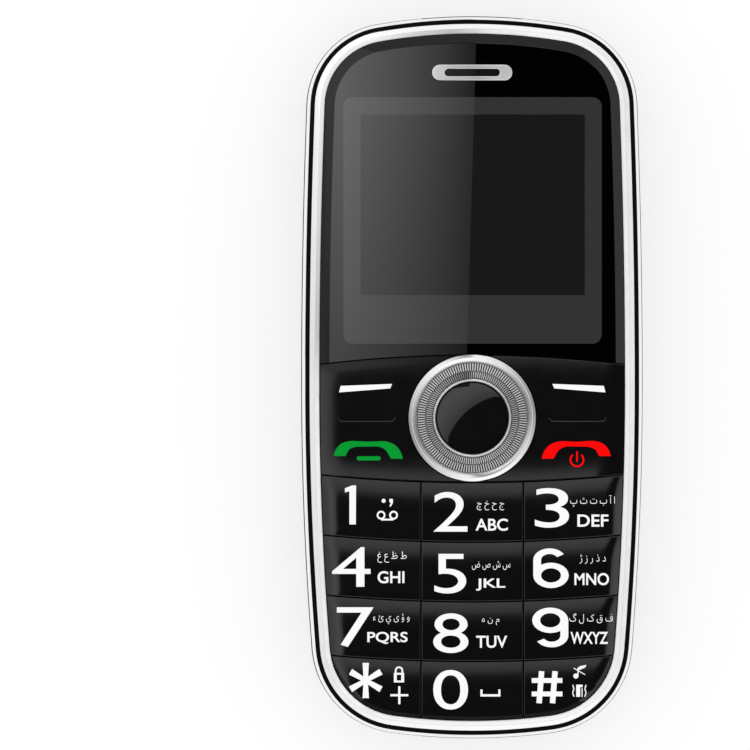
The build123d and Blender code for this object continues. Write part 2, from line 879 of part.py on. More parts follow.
def usb_socket():
    """Folded metal mouth with a contact tongue."""
    y0, y1 = usb_front_y, usb_front_y + usb_length
    z0, z1 = board_z - usb_height, board_z
    mouth = block(usb_skin - usb_width / 2, usb_width / 2 - usb_skin, y0 - overrun, y1 - usb_skin,
                  z0 + usb_skin, z1 - usb_skin)
    middle_z = (z0 + z1) / 2
    tongue = block(-usb_tongue_width / 2, usb_tongue_width / 2, y0 + usb_tongue_height, y1 - usb_skin,
                   middle_z - usb_tongue_height / 2, middle_z + usb_tongue_height / 2)
    return usb_box(0) - mouth + tongue


def battery():
    """Flat battery with rounded corners, against the bay floor."""
    outline = RectangleRounded(battery_width, battery_length, battery_corner_r)
    return extrude(Pos(0, battery_y, mid_plate_z - battery_thickness) * outline, battery_thickness)


def battery_contacts():
    """Contact block at the upper end of the bay, with three spring blades."""
    x = contact_width / 2
    y0 = bay_top_y
    body = block(-x, x, y0, y0 + contact_depth, mid_plate_z - contact_height, mid_plate_z)
    for count in (-1, 0, 1):
        middle = count * contact_blade_pitch
        body += block(middle - contact_blade_width / 2, middle + contact_blade_width / 2,
                      y0 - contact_blade_depth, y0, mid_plate_z - contact_height + contact_blade_depth,
                      mid_plate_z - contact_blade_depth)
    return body


def card_holder(x, y, width, length, height):
    """Metal card holder on the middle plate, open at one end."""
    z0 = mid_plate_z - height
    body = block(x - width / 2, x + width / 2, y - length / 2, y + length / 2, z0, mid_plate_z)
    slot_z = z0 + (height - card_slot_height) / 2
    return body - block(x - width / 2 + card_slot_margin, x + width / 2 - card_slot_margin,
                        y - length / 2 - overrun, y + length / 2 - card_slot_margin,
                        slot_z, slot_z + card_slot_height)


def sim_sockets():
    """Two card holders side by side."""
    return [
        card_holder(hand * sim_pitch / 2, sim_y, sim_width, sim_length, sim_height) for hand in (-1, 1)
    ]


def memory_card_socket():
    """Small card holder above them."""
    return card_holder(memory_x, memory_y, memory_width, memory_length, memory_height)


def loudspeaker():
    """Speaker box with a recessed cone behind the slots."""
    x, y = speaker_width / 2, speaker_length / 2
    z0 = mid_plate_z - speaker_height
    body = block(speaker_x - x, speaker_x + x, speaker_y - y, speaker_y + y, z0, mid_plate_z)
    return body - block(speaker_x - x + speaker_rim, speaker_x + x - speaker_rim,
                        speaker_y - y + speaker_rim, speaker_y + y - speaker_rim,
                        z0 - overrun, z0 + speaker_recess)


def motor_axis_z():
    """Height of the motor's shaft."""
    return mid_plate_z - motor_r


def vibration_motor():
    """Motor can lying on the middle plate, bored for its shaft."""
    z = motor_axis_z()
    body = bar_x(motor_y, z, motor_r, motor_x - motor_length, motor_x)
    return body - bar_x(motor_y, z, shaft_r + shaft_play, motor_x - shaft_depth - weight_gap, motor_x + overrun)


def vibration_weight():
    """Half-round weight on the motor's shaft."""
    z = motor_axis_z()
    x0 = motor_x + weight_gap
    body = bar_x(motor_y, z, weight_r, x0, x0 + weight_length)
    body -= block(x0 - overrun, x0 + weight_length + overrun, motor_y - weight_r - overrun,
                  motor_y + weight_r + overrun, z + shaft_r * 2, z + weight_r + overrun)
    return body + bar_x(motor_y, z, shaft_r, motor_x - shaft_depth, x0 + weight_length + weight_gap)


def antenna():
    """Antenna carrier at the top end."""
    x, y = antenna_width / 2, antenna_length / 2
    return block(antenna_x - x, antenna_x + x, antenna_y - y, antenna_y + y,
                 mid_plate_z - antenna_height, mid_plate_z)


def lamp_back_y():
    """Back of the lamp body, measured from the end cap inward."""
    return cap_back_y - lamp_gap - lamp_body_length


def torch_led():
    """Lamp on the end of the board."""
    x = lamp_body_width / 2
    y = lamp_back_y()
    return block(-x, x, y, y + lamp_body_length, board_z - lamp_body_height, board_z)


def torch_lens():
    """Clear round lens in the end cap."""
    return bar_y(0, lamp_z, lamp_lens_r, cap_back_y - lamp_gap / 2, cap_face_y - lamp_lens_drop)


def torch_cap():
    """Flat black cap across the middle of the top end."""
    body = block(-cap_half_width, cap_half_width, cap_back_y, cap_face_y, cap_bottom_z, cap_top_z)
    body += cap_foot(0)
    return body - bar_y(0, lamp_z, lamp_lens_r + seat_gap, cap_back_y - overrun, cap_face_y + overrun)


def housing_screws():
    """Six equal screws from behind."""
    screws = []
    head_z = mid_plate_z - screw_head_height
    for x, y in screw_centres():
        head = post(x, y, screw_head_r, head_z, mid_plate_z)
        head -= post(x, y, screw_drive_r, head_z - overrun, head_z + screw_drive_depth)
        screws.append(head + post(x, y, screw_shank_r, mid_plate_z, mid_plate_z + screw_length))
    return screws


def grip_ring(z0, z1):
    """Band round the side, as deep as the grips."""
    body = slab(-overrun, z0, z1) - slab(grip_depth, z0 - overrun, z1 + overrun)
    return body - block(-grip_end_x, grip_end_x, 2 * bottom_y, 2 * top_y, z0 - overrun, z1 + overrun)


def rear_cover():
    """Whole rear shell: rolled back, skirt, grip grooves, port holes and the pry notch."""
    top_z = seam_z - seat_gap
    body = shell(0) & block(-half_width, half_width, bottom_y, top_y, 0, top_z)
    body -= shell(cover_wall)
    body -= slab(cover_wall, roll_height, seam_z + overrun)
    body -= grip_ring(grip_z, grip_z + grip_height)
    body -= cap_pocket(key_gap, cap_bottom_z - key_gap)
    body -= cap_foot(key_gap)
    body -= block(-cap_half_width - key_gap, cap_half_width + key_gap, cap_back_y - cap_room, cap_back_y,
                  cap_bottom_z - key_gap, seam_z + overrun)
    rim = slab(-overrun, notch_z, seam_z + overrun) - slab(notch_depth, notch_z - overrun, seam_z + overrun)
    body -= rim & block(-phone_width, notch_x, 2 * bottom_y, notch_y, notch_z, seam_z + overrun)
    hole_x = usb_width / 2 + usb_hole_margin
    body -= block(-hole_x, hole_x, 2 * bottom_y, usb_front_y + usb_length,
                  board_z - usb_height - usb_hole_margin, board_z + usb_hole_margin)
    body -= plug_way()
    for count in range(sound_slots):
        y = speaker_y + (count - (sound_slots - 1) / 2) * sound_slot_pitch
        slot = Pos(speaker_x, y, -overrun) * SlotOverall(sound_slot_length, sound_slot_width)
        body -= extrude(slot, 2 * overrun)
    return body


def grip_band(hand):
    """Perforated grip strip set into one side, round both corners."""
    z0 = grip_z + grip_line
    z1 = grip_z + grip_height - grip_line
    body = slab(0, z0, z1) - slab(grip_depth, z0 - overrun, z1 + overrun)
    keep = block(hand * (grip_end_x + seat_gap), hand * phone_width, 2 * bottom_y, 2 * top_y, z0, z1)
    return body & keep


def collect():
    """Every sub-part under its name."""
    parts = {
        "chrome_side_frame": chrome_side_frame(),
        "front_trim_ring": front_trim_ring(),
        "front_housing": front_housing(),
        "display_lens": display_lens(),
        "earpiece_trim": earpiece_trim(),
        "earpiece_mesh": earpiece_mesh(),
        "lcd_frame": lcd_frame(),
        "lcd_panel": lcd_panel(),
        "lcd_backlight": lcd_backlight(),
        "lcd_holder": lcd_holder(),
        "lcd_flex": lcd_flex(),
        "nav_carrier": nav_carrier(),
        "nav_ring": nav_ring(),
        "nav_knurl_ring": nav_knurl_ring(),
        "nav_inner_ring": nav_inner_ring(),
        "center_key": center_key(),
        "left_function_key": function_side(-1),
        "right_function_key": function_side(1),
        "keypad_mat": keypad_mat(),
        "dome_sheet": dome_sheet(),
        "main_board": main_board(),
        "shield_can": shield_can(),
        "earpiece_receiver": earpiece_receiver(),
        "microphone": microphone(),
        "mid_housing": mid_housing(),
        "headphone_jack": headphone_jack(),
        "usb_socket": usb_socket(),
        "battery": battery(),
        "battery_contacts": battery_contacts(),
        "sim_sockets": sim_sockets(),
        "memory_card_socket": memory_card_socket(),
        "loudspeaker": loudspeaker(),
        "vibration_motor": vibration_motor(),
        "vibration_weight": vibration_weight(),
        "antenna": antenna(),
        "torch_led": torch_led(),
        "torch_lens": torch_lens(),
        "torch_cap": torch_cap(),
        "housing_screws": housing_screws(),
        "rear_cover": rear_cover(),
        "grip_band_left": grip_band(-1),
        "grip_band_right": grip_band(1),
    }
    for row, names in enumerate(key_names):
        for column, name in enumerate(names):
            parts[name] = key(row, column)
    return parts


os.makedirs("parts", exist_ok=True)
for name, shape in collect().items():
    solids = shape if isinstance(shape, list) else shape.solids()
    body = solids[0] if len(solids) == 1 else Compound(children=list(solids))
    export_step(body, "parts/" + name + ".step")
    print(name, len(solids))
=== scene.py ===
import bmesh
import bpy
from math import atan2, ceil, cos, hypot, pi, radians, sin, sqrt, tau
from mathutils import Matrix, Vector


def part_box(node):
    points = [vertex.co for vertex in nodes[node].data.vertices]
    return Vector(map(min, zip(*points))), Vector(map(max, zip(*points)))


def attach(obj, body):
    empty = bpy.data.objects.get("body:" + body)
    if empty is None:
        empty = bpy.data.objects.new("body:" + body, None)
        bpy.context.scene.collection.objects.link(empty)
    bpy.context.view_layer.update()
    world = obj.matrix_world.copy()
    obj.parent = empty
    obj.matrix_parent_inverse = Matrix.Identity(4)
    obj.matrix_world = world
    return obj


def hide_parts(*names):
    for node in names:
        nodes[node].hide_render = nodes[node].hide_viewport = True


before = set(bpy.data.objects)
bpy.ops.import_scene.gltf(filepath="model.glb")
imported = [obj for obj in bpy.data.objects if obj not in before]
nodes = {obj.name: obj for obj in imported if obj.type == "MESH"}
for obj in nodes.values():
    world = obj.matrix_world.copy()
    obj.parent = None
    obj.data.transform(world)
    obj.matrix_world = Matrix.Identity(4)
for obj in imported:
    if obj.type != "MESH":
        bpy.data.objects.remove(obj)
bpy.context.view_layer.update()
mm = 0.001

# Rear shell: one thin moulding of soft black plastic that rolls up from the flat back to
# the sides and snaps over the phone, so that it lifts off whole. The grooves, sockets'
# holes, sound slots and prying notch are moulded with it.
weld = 0.002 * mm
real_corner = 32
gloss_drift = 0.12
noise_low, noise_high = 0.3, 0.7


def shader_node(tree, kind, inputs, **settings):
    """Adds a shader node whose inputs are plain values or the outputs of other nodes."""
    made = tree.nodes.new("ShaderNode" + kind)
    for name, value in settings.items():
        setattr(made, name, value)
    for name, value in inputs.items():
        if isinstance(value, bpy.types.NodeSocket):
            tree.links.new(value, made.inputs[name])
        else:
            made.inputs[name].default_value = value
    return made


def ranged(tree, value, low, high, at_low, at_high):
    """A value between two limits, carried over to two other limits."""
    limits = {"Value": value, "From Min": low, "From Max": high, "To Min": at_low, "To Max": at_high}
    return shader_node(tree, "MapRange", limits).outputs["Result"]


def object_place(tree):
    """The place on the piece, measured in the shared frame."""
    return tree.nodes.new("ShaderNodeTexCoord").outputs["Object"]


def bump_grain(tree, shader, place, grain, relief):
    """Fine grain that stands in relief, as left by the mould or the tool."""
    noise = shader_node(tree, "TexNoise", {"Scale": 1 / grain, "Detail": 3, "Vector": place})
    heights = {"Strength": 0.6, "Distance": relief, "Height": noise.outputs["Fac"]}
    bump = shader_node(tree, "Bump", heights)
    tree.links.new(bump.outputs["Normal"], shader.inputs["Normal"])


def wander(tree, place, size, low, high):
    """A value that drifts slowly between two limits over the surface."""
    noise = shader_node(tree, "TexNoise", {"Scale": 1 / size, "Detail": 4, "Vector": place})
    return ranged(tree, noise.outputs["Fac"], noise_low, noise_high, low, high)


def finish(name, colour, rough, metal=0.0, grain=0.12 * mm, relief=0.002 * mm, patch=7 * mm,
           drift=0.15, specular=0.5):
    """One moulded, painted or plated finish, whose colour and gloss drift a little."""
    material = bpy.data.materials.new(name)
    material.use_nodes = True
    tree = material.node_tree
    shader = tree.nodes["Principled BSDF"]
    shader.inputs["Metallic"].default_value = metal
    shader.inputs["Specular IOR Level"].default_value = specular
    place = object_place(tree)
    tint = shader_node(tree, "Mix", {
        "Factor": wander(tree, place, patch, 0, 1),
        "A": (*[c * (1 - drift / 2) for c in colour], 1),
        "B": (*[min(1, c * (1 + drift / 2)) for c in colour], 1),
    }, data_type="RGBA")
    tree.links.new(tint.outputs["Result"], shader.inputs["Base Color"])
    gloss = wander(tree, place, patch / 3, rough * (1 - gloss_drift), rough * (1 + gloss_drift))
    tree.links.new(gloss, shader.inputs["Roughness"])
    bump_grain(tree, shader, place, grain, relief)
    return material


def new_piece(bm, name, sharp=real_corner, turn_outward=True):
    """Turns a finished bmesh into an object, smooth except at its real corners."""
    if turn_outward:
        bmesh.ops.recalc_face_normals(bm, faces=bm.faces)
    mesh = bpy.data.meshes.new(name)
    bm.to_mesh(mesh)
    bm.free()
    if "custom_normal" in mesh.attributes:
        mesh.attributes.remove(mesh.attributes["custom_normal"])
    mesh.shade_smooth()
    mesh.set_sharp_from_angle(angle=radians(sharp))
    piece = bpy.data.objects.new(name, mesh)
    bpy.context.scene.collection.objects.link(piece)
    return piece


def dress(piece, material, body):
    """Gives a piece its finish and the body it rides on."""
    piece.data.materials.clear()
    piece.data.materials.append(material)
    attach(piece, body)
    return piece


def fit_out(piece, material, body, slot, *stands_for):
    """Dresses a piece and hides the node it stands for."""
    dress(piece, material, body)
    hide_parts(*stands_for)
    return piece


def verts_of(geom):
    """The corners among the mixed results of a step."""
    return [part for part in geom if isinstance(part, bmesh.types.BMVert)]


def copied(node, name):
    """A node's own shape as a new piece, its loose triangles merged first."""
    bm = bmesh.new()
    bm.from_mesh(nodes[node].data)
    bmesh.ops.remove_doubles(bm, verts=bm.verts, dist=weld)
    bmesh.ops.dissolve_degenerate(bm, edges=bm.edges, dist=weld)
    return new_piece(bm, name)


cover_black = finish("soft_black_shell", (0.013, 0.013, 0.014), 0.36)
fit_out(copied("rear_cover", "rear_shell"), cover_black, "cover", "cover_black", "rear_cover")

# Grip bands: strips of dark rubber set in a groove round each side, each perforated with
# five staggered rows of small round holes so that the hand does not slip. They are punched
# flat and then bent round the shell.
frame_low, frame_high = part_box("chrome_side_frame")
cap_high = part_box("torch_cap")[1]
half_width = frame_high.x
bottom_y = frame_low.y
top_y = cap_high.y - 0.1 * mm
widest_y = -1.3 * mm
top_arch_r = 89.0 * mm
top_corner_r = 13.2 * mm
top_side_r = 1170.0 * mm
bottom_arch_r = 94.5 * mm
bottom_corner_r = 14.4 * mm
bottom_side_r = 520.0 * mm


def end_arcs(half, reach, arch_r, corner_r, side_r):
    """Arch, corner and side of one end as (centre, radius, from angle, to angle)."""
    arch = Vector((0, reach - arch_r))
    side = Vector((half - side_r, 0))
    span = side - arch
    to_arch = arch_r - corner_r
    to_side = side_r - corner_r
    along = (span.length_squared + to_arch ** 2 - to_side ** 2) / (2 * span.length)
    across = sqrt(to_arch ** 2 - along ** 2)
    step = span.normalized()
    corners = [arch + step * along + Vector((-step.y, step.x)) * across * way for way in (1, -1)]
    corner = max(corners, key=lambda centre: centre.x + centre.y)
    arch_end = atan2(corner.y - arch.y, corner.x)
    side_end = atan2(corner.y, corner.x - side.x)
    return [
        (arch, arch_r, pi / 2, arch_end),
        (corner, corner_r, arch_end, side_end),
        (side, side_r, side_end, 0),
    ]


def right_side(inset):
    """The outline's right half, moved in: six arcs from the top middle to the bottom middle."""
    half = half_width - inset
    upper = end_arcs(half, top_y - inset - widest_y, top_arch_r - inset, top_corner_r - inset,
                     top_side_r - inset)
    lower = end_arcs(half, widest_y - bottom_y - inset, bottom_arch_r - inset, bottom_corner_r - inset,
                     bottom_side_r - inset)
    middle = Vector((0, widest_y))
    arcs = [(middle + c, r, a, b) for c, r, a, b in upper]
    arcs += [(middle + Vector((c.x, -c.y)), r, -b, -a) for c, r, a, b in reversed(lower)]
    return arcs


def along_side(distance, inset):
    """Point on the right side that lies a distance along the outline from the top middle."""
    for (centre, radius, start, end), true_arc in zip(right_side(inset), right_side(0)):
        true_radius = true_arc[1]
        length = true_radius * (start - end)
        if distance <= length:
            break
        distance -= length
    angle = start - distance / true_radius
    return centre + Vector((cos(angle), sin(angle))) * radius


def perforated(length, height, hole_pitch, rows, hole_r, depth, thickness):
    """A flat strip from the origin along X, with staggered rows of holes sunk in its face."""
    columns = 2 * round(length / hole_pitch)
    bm = bmesh.new()
    bmesh.ops.create_grid(bm, x_segments=columns, y_segments=rows, size=0.5)
    bmesh.ops.scale(bm, vec=(length, height, 1), verts=bm.verts)
    bmesh.ops.translate(bm, vec=(length / 2, height / 2, 0), verts=bm.verts)
    half_cell = length / columns
    row_height = height / rows
    joins = []
    for edge in bm.edges:
        a, b = (v.co for v in edge.verts)
        if abs(a.x - b.x) > weld or edge.is_boundary:
            continue
        column = round(a.x / half_cell)
        row = int((a.y + b.y) / 2 / row_height)
        if (column + row) % 2:
            joins.append(edge)
    bmesh.ops.dissolve_edges(bm, edges=joins)
    back = bmesh.ops.duplicate(bm, geom=list(bm.verts) + list(bm.edges) + list(bm.faces))["geom"]
    back_faces = [g for g in back if isinstance(g, bmesh.types.BMFace)]
    bmesh.ops.translate(bm, vec=(0, 0, -thickness), verts=verts_of(back))
    bmesh.ops.reverse_faces(bm, faces=back_faces)
    cells = [f for f in bm.faces if f not in set(back_faces) and len(f.verts) == 6]
    rims = [e for e in bm.edges if e.is_boundary]
    bmesh.ops.bridge_loops(bm, edges=rims)
    bmesh.ops.inset_individual(bm, faces=cells, thickness=hole_r / 3, depth=0)
    for cell in cells:
        middle = cell.calc_center_median()
        for vert in cell.verts:
            reach = vert.co - middle
            vert.co = middle + Vector((reach.x, reach.y, 0)).normalized() * hole_r
    bmesh.ops.inset_individual(bm, faces=cells, thickness=hole_r * 0.12, depth=-depth)
    return bm


grip_low, grip_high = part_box("grip_band_right")
grip_pitch = 0.877 * mm
grip_rows = 5
grip_hole_r = 0.24 * mm
grip_hole_depth = 0.25 * mm
grip_thickness = 0.45 * mm
grip_black = finish("perforated_rubber", (0.021, 0.021, 0.022), 0.5, grain=0.08 * mm)


def reach_at(x, first, last):
    """Distance along the outline at which it passes x, between two distances."""
    for _ in range(40):
        middle = (first + last) / 2
        rising = along_side(last, 0).x > along_side(first, 0).x
        if (along_side(middle, 0).x < x) == rising:
            first = middle
        else:
            last = middle
    return first


side_length = sum(r * (a - b) for c, r, a, b in right_side(0))
grip_start = reach_at(grip_low.x, 0, side_length / 4)
grip_end = reach_at(grip_low.x, 3 * side_length / 4, side_length)
for hand, side_name in ((1, "right"), (-1, "left")):
    strip = perforated(grip_end - grip_start, grip_high.z - grip_low.z, grip_pitch, grip_rows,
                       grip_hole_r, grip_hole_depth, grip_thickness)
    for vert in strip.verts:
        spot = along_side(grip_start + vert.co.x, -vert.co.z)
        vert.co = Vector((spot.x * hand, spot.y, grip_low.z + vert.co.y))
    band = new_piece(strip, f"grip_{side_name}", sharp=25)
    fit_out(band, grip_black, "cover", "grip_black", f"grip_band_{side_name}")

# Inner works: the middle housing is one black moulding held by six screws, with the battery
# in its bay, the card holders, loudspeaker, motor and sockets seated in it. They show when
# the rear shell is off. Board, mat and screen lie between it and the face.
inner_finishes = [
    (finish("housing_black", (0.009, 0.009, 0.0095), 0.42, specular=0.15),
     ("mid_housing", "front_housing", "lcd_holder", "nav_carrier")),
    (finish("solder_mask_green", (0.012, 0.11, 0.045), 0.3, patch=3 * mm, drift=0.3), ("main_board",)),
    (finish("moulded_speaker", (0.025, 0.025, 0.025), 0.5),
     ("earpiece_receiver", "microphone", "loudspeaker", "headphone_jack")),
    (finish("rolled_steel", (0.62, 0.62, 0.63), 0.3, metal=1, grain=0.3 * mm),
     ("usb_socket", "shield_can", "sim_sockets", "memory_card_socket", "vibration_motor")),
    (finish("blackened_steel", (0.2, 0.2, 0.21), 0.38, metal=1), ("vibration_weight", "housing_screws")),
    (finish("battery_wrap", (0.42, 0.43, 0.44), 0.45, grain=0.05 * mm, drift=0.08), ("battery",)),
    (finish("contact_block", (0.05, 0.045, 0.04), 0.45), ("battery_contacts",)),
    (finish("antenna_carrier", (0.62, 0.58, 0.47), 0.5), ("antenna",)),
    (finish("silicone_mat", (0.11, 0.11, 0.12), 0.6, grain=0.2 * mm), ("keypad_mat",)),
    (finish("snap_domes", (0.6, 0.6, 0.58), 0.25, metal=1), ("dome_sheet",)),
    (finish("ribbon_amber", (0.4, 0.17, 0.03), 0.25, grain=0.5 * mm), ("lcd_flex",)),
    (finish("lamp_body", (0.85, 0.8, 0.5), 0.3), ("torch_led",)),
    (finish("light_guide", (0.75, 0.75, 0.7), 0.35), ("lcd_backlight",)),
    (finish("screen_tray", (0.05, 0.05, 0.052), 0.35, metal=0.6), ("lcd_frame",)),
    (finish("screen_glass", (0.008, 0.008, 0.01), 0.08, patch=20 * mm), ("lcd_panel",)),
]
for material, names in inner_finishes:
    for name in names:
        nodes[name].data.materials.clear()
        nodes[name].data.materials.append(material)

# End cap: a separate black moulding let into the top end, in satin plastic, with a round
# clear lens in front of the lamp. The lens is ringed so that it spreads the light.
cap_black = finish("cap_black", (0.009, 0.009, 0.01), 0.22)


def softened(piece, width, segments=2, corner=30):
    """Rounds every real edge of a piece by a small width, and keeps its flats flat."""
    bevel = piece.modifiers.new("rounded edges", "BEVEL")
    bevel.width = width
    bevel.segments = segments
    bevel.limit_method = "ANGLE"
    bevel.angle_limit = radians(corner)
    weighted = piece.modifiers.new("even shading", "WEIGHTED_NORMAL")
    weighted.keep_sharp = True
    return piece


def settled(piece):
    """Works a piece's modifiers into its mesh."""
    graph = bpy.context.evaluated_depsgraph_get()
    mesh = bpy.data.meshes.new_from_object(piece.evaluated_get(graph))
    piece.modifiers.clear()
    piece.data = mesh
    return piece


def cut(piece, tool, how="DIFFERENCE"):
    """Cuts a piece with a solid, or keeps only what they share."""
    cutter = new_piece(tool, "cutter")
    work = piece.modifiers.new("cut", "BOOLEAN")
    work.operation = how
    work.solver = "EXACT"
    work.object = cutter
    settled(piece)
    bpy.data.objects.remove(cutter)
    piece.data.shade_smooth()
    piece.data.set_sharp_from_angle(angle=radians(real_corner))
    return piece


def solid_box(low, high):
    """Plain box between two corners, to cut with."""
    bm = bmesh.new()
    bmesh.ops.create_cube(bm, size=1)
    bmesh.ops.scale(bm, vec=Vector(high) - Vector(low), verts=bm.verts)
    bmesh.ops.translate(bm, vec=(Vector(high) + Vector(low)) / 2, verts=bm.verts)
    return bm


def round_tool(x, y, r, low, high, segments):
    """Upright round bar to cut with."""
    bm = bmesh.new()
    bmesh.ops.create_cone(bm, cap_ends=True, segments=segments, radius1=r, radius2=r, depth=high - low)
    bmesh.ops.translate(bm, vec=(x, y, (low + high) / 2), verts=bm.verts)
    return bm


end_cap = copied("torch_cap", "end_cap")
cap_top_z = 13.35 * mm
cap_sunk = 0.1 * mm
tall = 30 * mm
cap_segments = 720
cap_arch = round_tool(0, top_y - top_arch_r, top_arch_r - cap_sunk, -tall, tall, cap_segments)
cut(end_cap, cap_arch, "INTERSECT")
cut(end_cap, solid_box((-tall, 0, cap_top_z), (tall, 2 * tall, tall)))
softened(end_cap, 0.12 * mm)
fit_out(end_cap, cap_black, "phone", "cap_black", "torch_cap")

lamp_low, lamp_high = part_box("torch_lens")
lamp_r = (lamp_high.x - lamp_low.x) / 2
lamp_z = (lamp_low.z + lamp_high.z) / 2
lamp_glass = finish("lamp_glass", (0.75, 0.78, 0.8), 0.08, grain=0.6 * mm)
lamp_glass.node_tree.nodes["Principled BSDF"].inputs["Transmission Weight"].default_value = 0.7
lamp_ribs = 4
rib_width = 0.12 * mm
rib_crest = 0.02 * mm
rib_foot = 0.18 * mm
bm = bmesh.new()
profile = [(0, lamp_low.y), (lamp_r, lamp_low.y), (lamp_r, lamp_high.y)]
for count in range(lamp_ribs, 0, -1):
    r = lamp_r * count / (lamp_ribs + 0.5)
    profile += [(r, lamp_high.y - rib_crest), (r - rib_width, lamp_high.y - rib_foot)]
profile.append((0, lamp_high.y - 0.05 * mm))
chain = [bm.verts.new((r, y, lamp_z)) for r, y in profile]
edges = [bm.edges.new(pair) for pair in zip(chain, chain[1:])]
bmesh.ops.spin(bm, geom=chain + edges, cent=(0, 0, lamp_z), axis=(0, 1, 0), angle=tau, steps=48,
               use_merge=True)
bmesh.ops.remove_doubles(bm, verts=bm.verts, dist=weld)
fit_out(new_piece(bm, "lamp_lens", sharp=20), lamp_glass, "phone", "lamp_lens", "torch_lens")

# Bright side frame: a plated band round the whole side, upright below and chamfered toward
# the face, with a thin lip over the black housing. It is moulded plastic with bright
# plating, so its corners are slightly rounded.
frame_wall = 1.3 * mm
frame_edge_z = 13.4 * mm
frame_step = 0.17 * mm
chamfer_inset = 0.61 * mm
lip_inset = 0.67 * mm
flange_z = 13.9 * mm
cap_half = cap_high.x
cap_back_y = 54.85 * mm
arc_steps = (12, 16, 20, 20, 16, 12)


def all_round():
    """The whole outline's arcs, clockwise from the top middle."""
    right = right_side(0)
    left = [(Vector((-centre.x, centre.y)), radius, pi - end, pi - start)
            for centre, radius, start, end in reversed(right)]
    return zip(right + left, arc_steps + arc_steps[::-1])


def spun(bm, geom, centre, angle, steps, **how):
    """Turns geometry about an upright axis, and gives back its last copy."""
    return bmesh.ops.spin(bm, geom=geom, cent=(*centre, 0), axis=(0, 0, 1), angle=angle, steps=steps,
                          **how)["geom_last"]


def swept(section, closed=True):
    """Runs a section of (inset, height) points round the phone, arc by arc."""
    bm = bmesh.new()
    chain = [bm.verts.new((0, top_y - inset, z)) for inset, z in section]
    pairs = list(zip(chain, chain[1:]))
    if closed:
        pairs.append((chain[-1], chain[0]))
    run = chain + [bm.edges.new(pair) for pair in pairs]
    for (centre, radius, start, end), steps in all_round():
        run = spun(bm, run, centre, end - start, steps)
    bmesh.ops.remove_doubles(bm, verts=bm.verts, dist=weld)
    bmesh.ops.holes_fill(bm, edges=[e for e in bm.edges if e.is_boundary], sides=0)
    return bm


side_chrome = finish("plated_side", (0.9, 0.9, 0.91), 0.1, metal=1, grain=2 * mm, relief=0.001 * mm,
                     drift=0.03)
side_ring = new_piece(swept([
    (frame_wall, frame_low.z),
    (frame_step, frame_low.z),
    (frame_step, frame_edge_z - 0.05 * mm),
    (frame_step + 0.03 * mm, frame_edge_z + 0.03 * mm),
    (chamfer_inset - 0.03 * mm, frame_high.z - 0.06 * mm),
    (chamfer_inset + 0.01 * mm, frame_high.z),
    (lip_inset, frame_high.z - 0.02 * mm),
    (lip_inset, flange_z),
    (frame_wall, flange_z),
]), "bright_side_frame")
cap_gap = 0.05 * mm
cut(side_ring, solid_box((-cap_half - cap_gap, cap_back_y, 0),
                         (cap_half + cap_gap, 2 * tall, cap_top_z + cap_gap)))
fit_out(side_ring, side_chrome, "phone", "side_chrome", "chrome_side_frame")

# Groove: a thin matt black sheet laid in the step between the side frame and the bright face
# ring. It is painted shade, so that the groove reads as a plain black line round the face.
groove_inset = 1.38 * mm
groove_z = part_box("front_housing")[1].z
groove_painted_shade = finish("groove_painted_shade", (0.003, 0.003, 0.003), 0.7, specular=0.05)
shade_sheet_gap = 0.01 * mm
shade_sheet_top_z = groove_z + 0.04 * mm
dress(new_piece(swept([
    (lip_inset + shade_sheet_gap, groove_z),
    (groove_inset - shade_sheet_gap, groove_z),
    (groove_inset - shade_sheet_gap, shade_sheet_top_z),
    (lip_inset + shade_sheet_gap, shade_sheet_top_z),
]), "groove_shade_sheet"), groove_painted_shade, "phone")

# Thin bright ring: a narrow plated trim that lies in the black groove of the face and
# frames lens and keys. It is satin plated, domed at its outer edge and flat inside.
rim_inset = 2.9 * mm
rim_high_z = 15.55 * mm
rim_foot_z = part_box("front_trim_ring")[0].z
rim_mid = (groove_inset + rim_inset) / 2
face_chrome = finish("plated_trim", (0.95, 0.95, 0.96), 0.36, metal=1, grain=1 * mm, relief=0.001 * mm,
                     drift=0.03)
rim_dome = 0.26 * mm
face_ring = new_piece(swept([
    (groove_inset, rim_foot_z),
    (groove_inset, rim_high_z - rim_dome - 0.06 * mm),
    (groove_inset + 0.05 * mm, rim_high_z - rim_dome),
    (rim_mid - 0.02 * mm, rim_high_z),
    (rim_mid + 0.02 * mm, rim_high_z),
    (rim_inset - 0.02 * mm, rim_high_z - rim_dome),
    (rim_inset, rim_high_z - rim_dome - 0.03 * mm),
    (rim_inset, rim_foot_z),
]), "bright_face_ring", sharp=12)
fit_out(face_ring, face_chrome, "phone", "face_chrome", "front_trim_ring")

# Lens: one polished pane over the screen and the ear slot, with a sloped edge. It is
# printed black on its back, all but the window, where the grey tray of the screen and the
# dark picture glass show.
lens_low, lens_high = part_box("display_lens")
nav_low, nav_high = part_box("nav_ring")
nav_y = (nav_low.y + nav_high.y) / 2
nav_r = nav_high.x
key_gap = 0.15 * mm
seat_gap = 0.05 * mm
face_slope = 1.5 * mm
arch_y = 3.45 * mm
arch_r = 197.0 * mm
window_low = (-20.15 * mm, 5.2 * mm)
window_high = (20.25 * mm, 43.75 * mm)
window_r = 1.5 * mm
picture_low = (-17.45 * mm, 12.8 * mm)
picture_high = (17.6 * mm, 41.05 * mm)
picture_r = 0.15 * mm


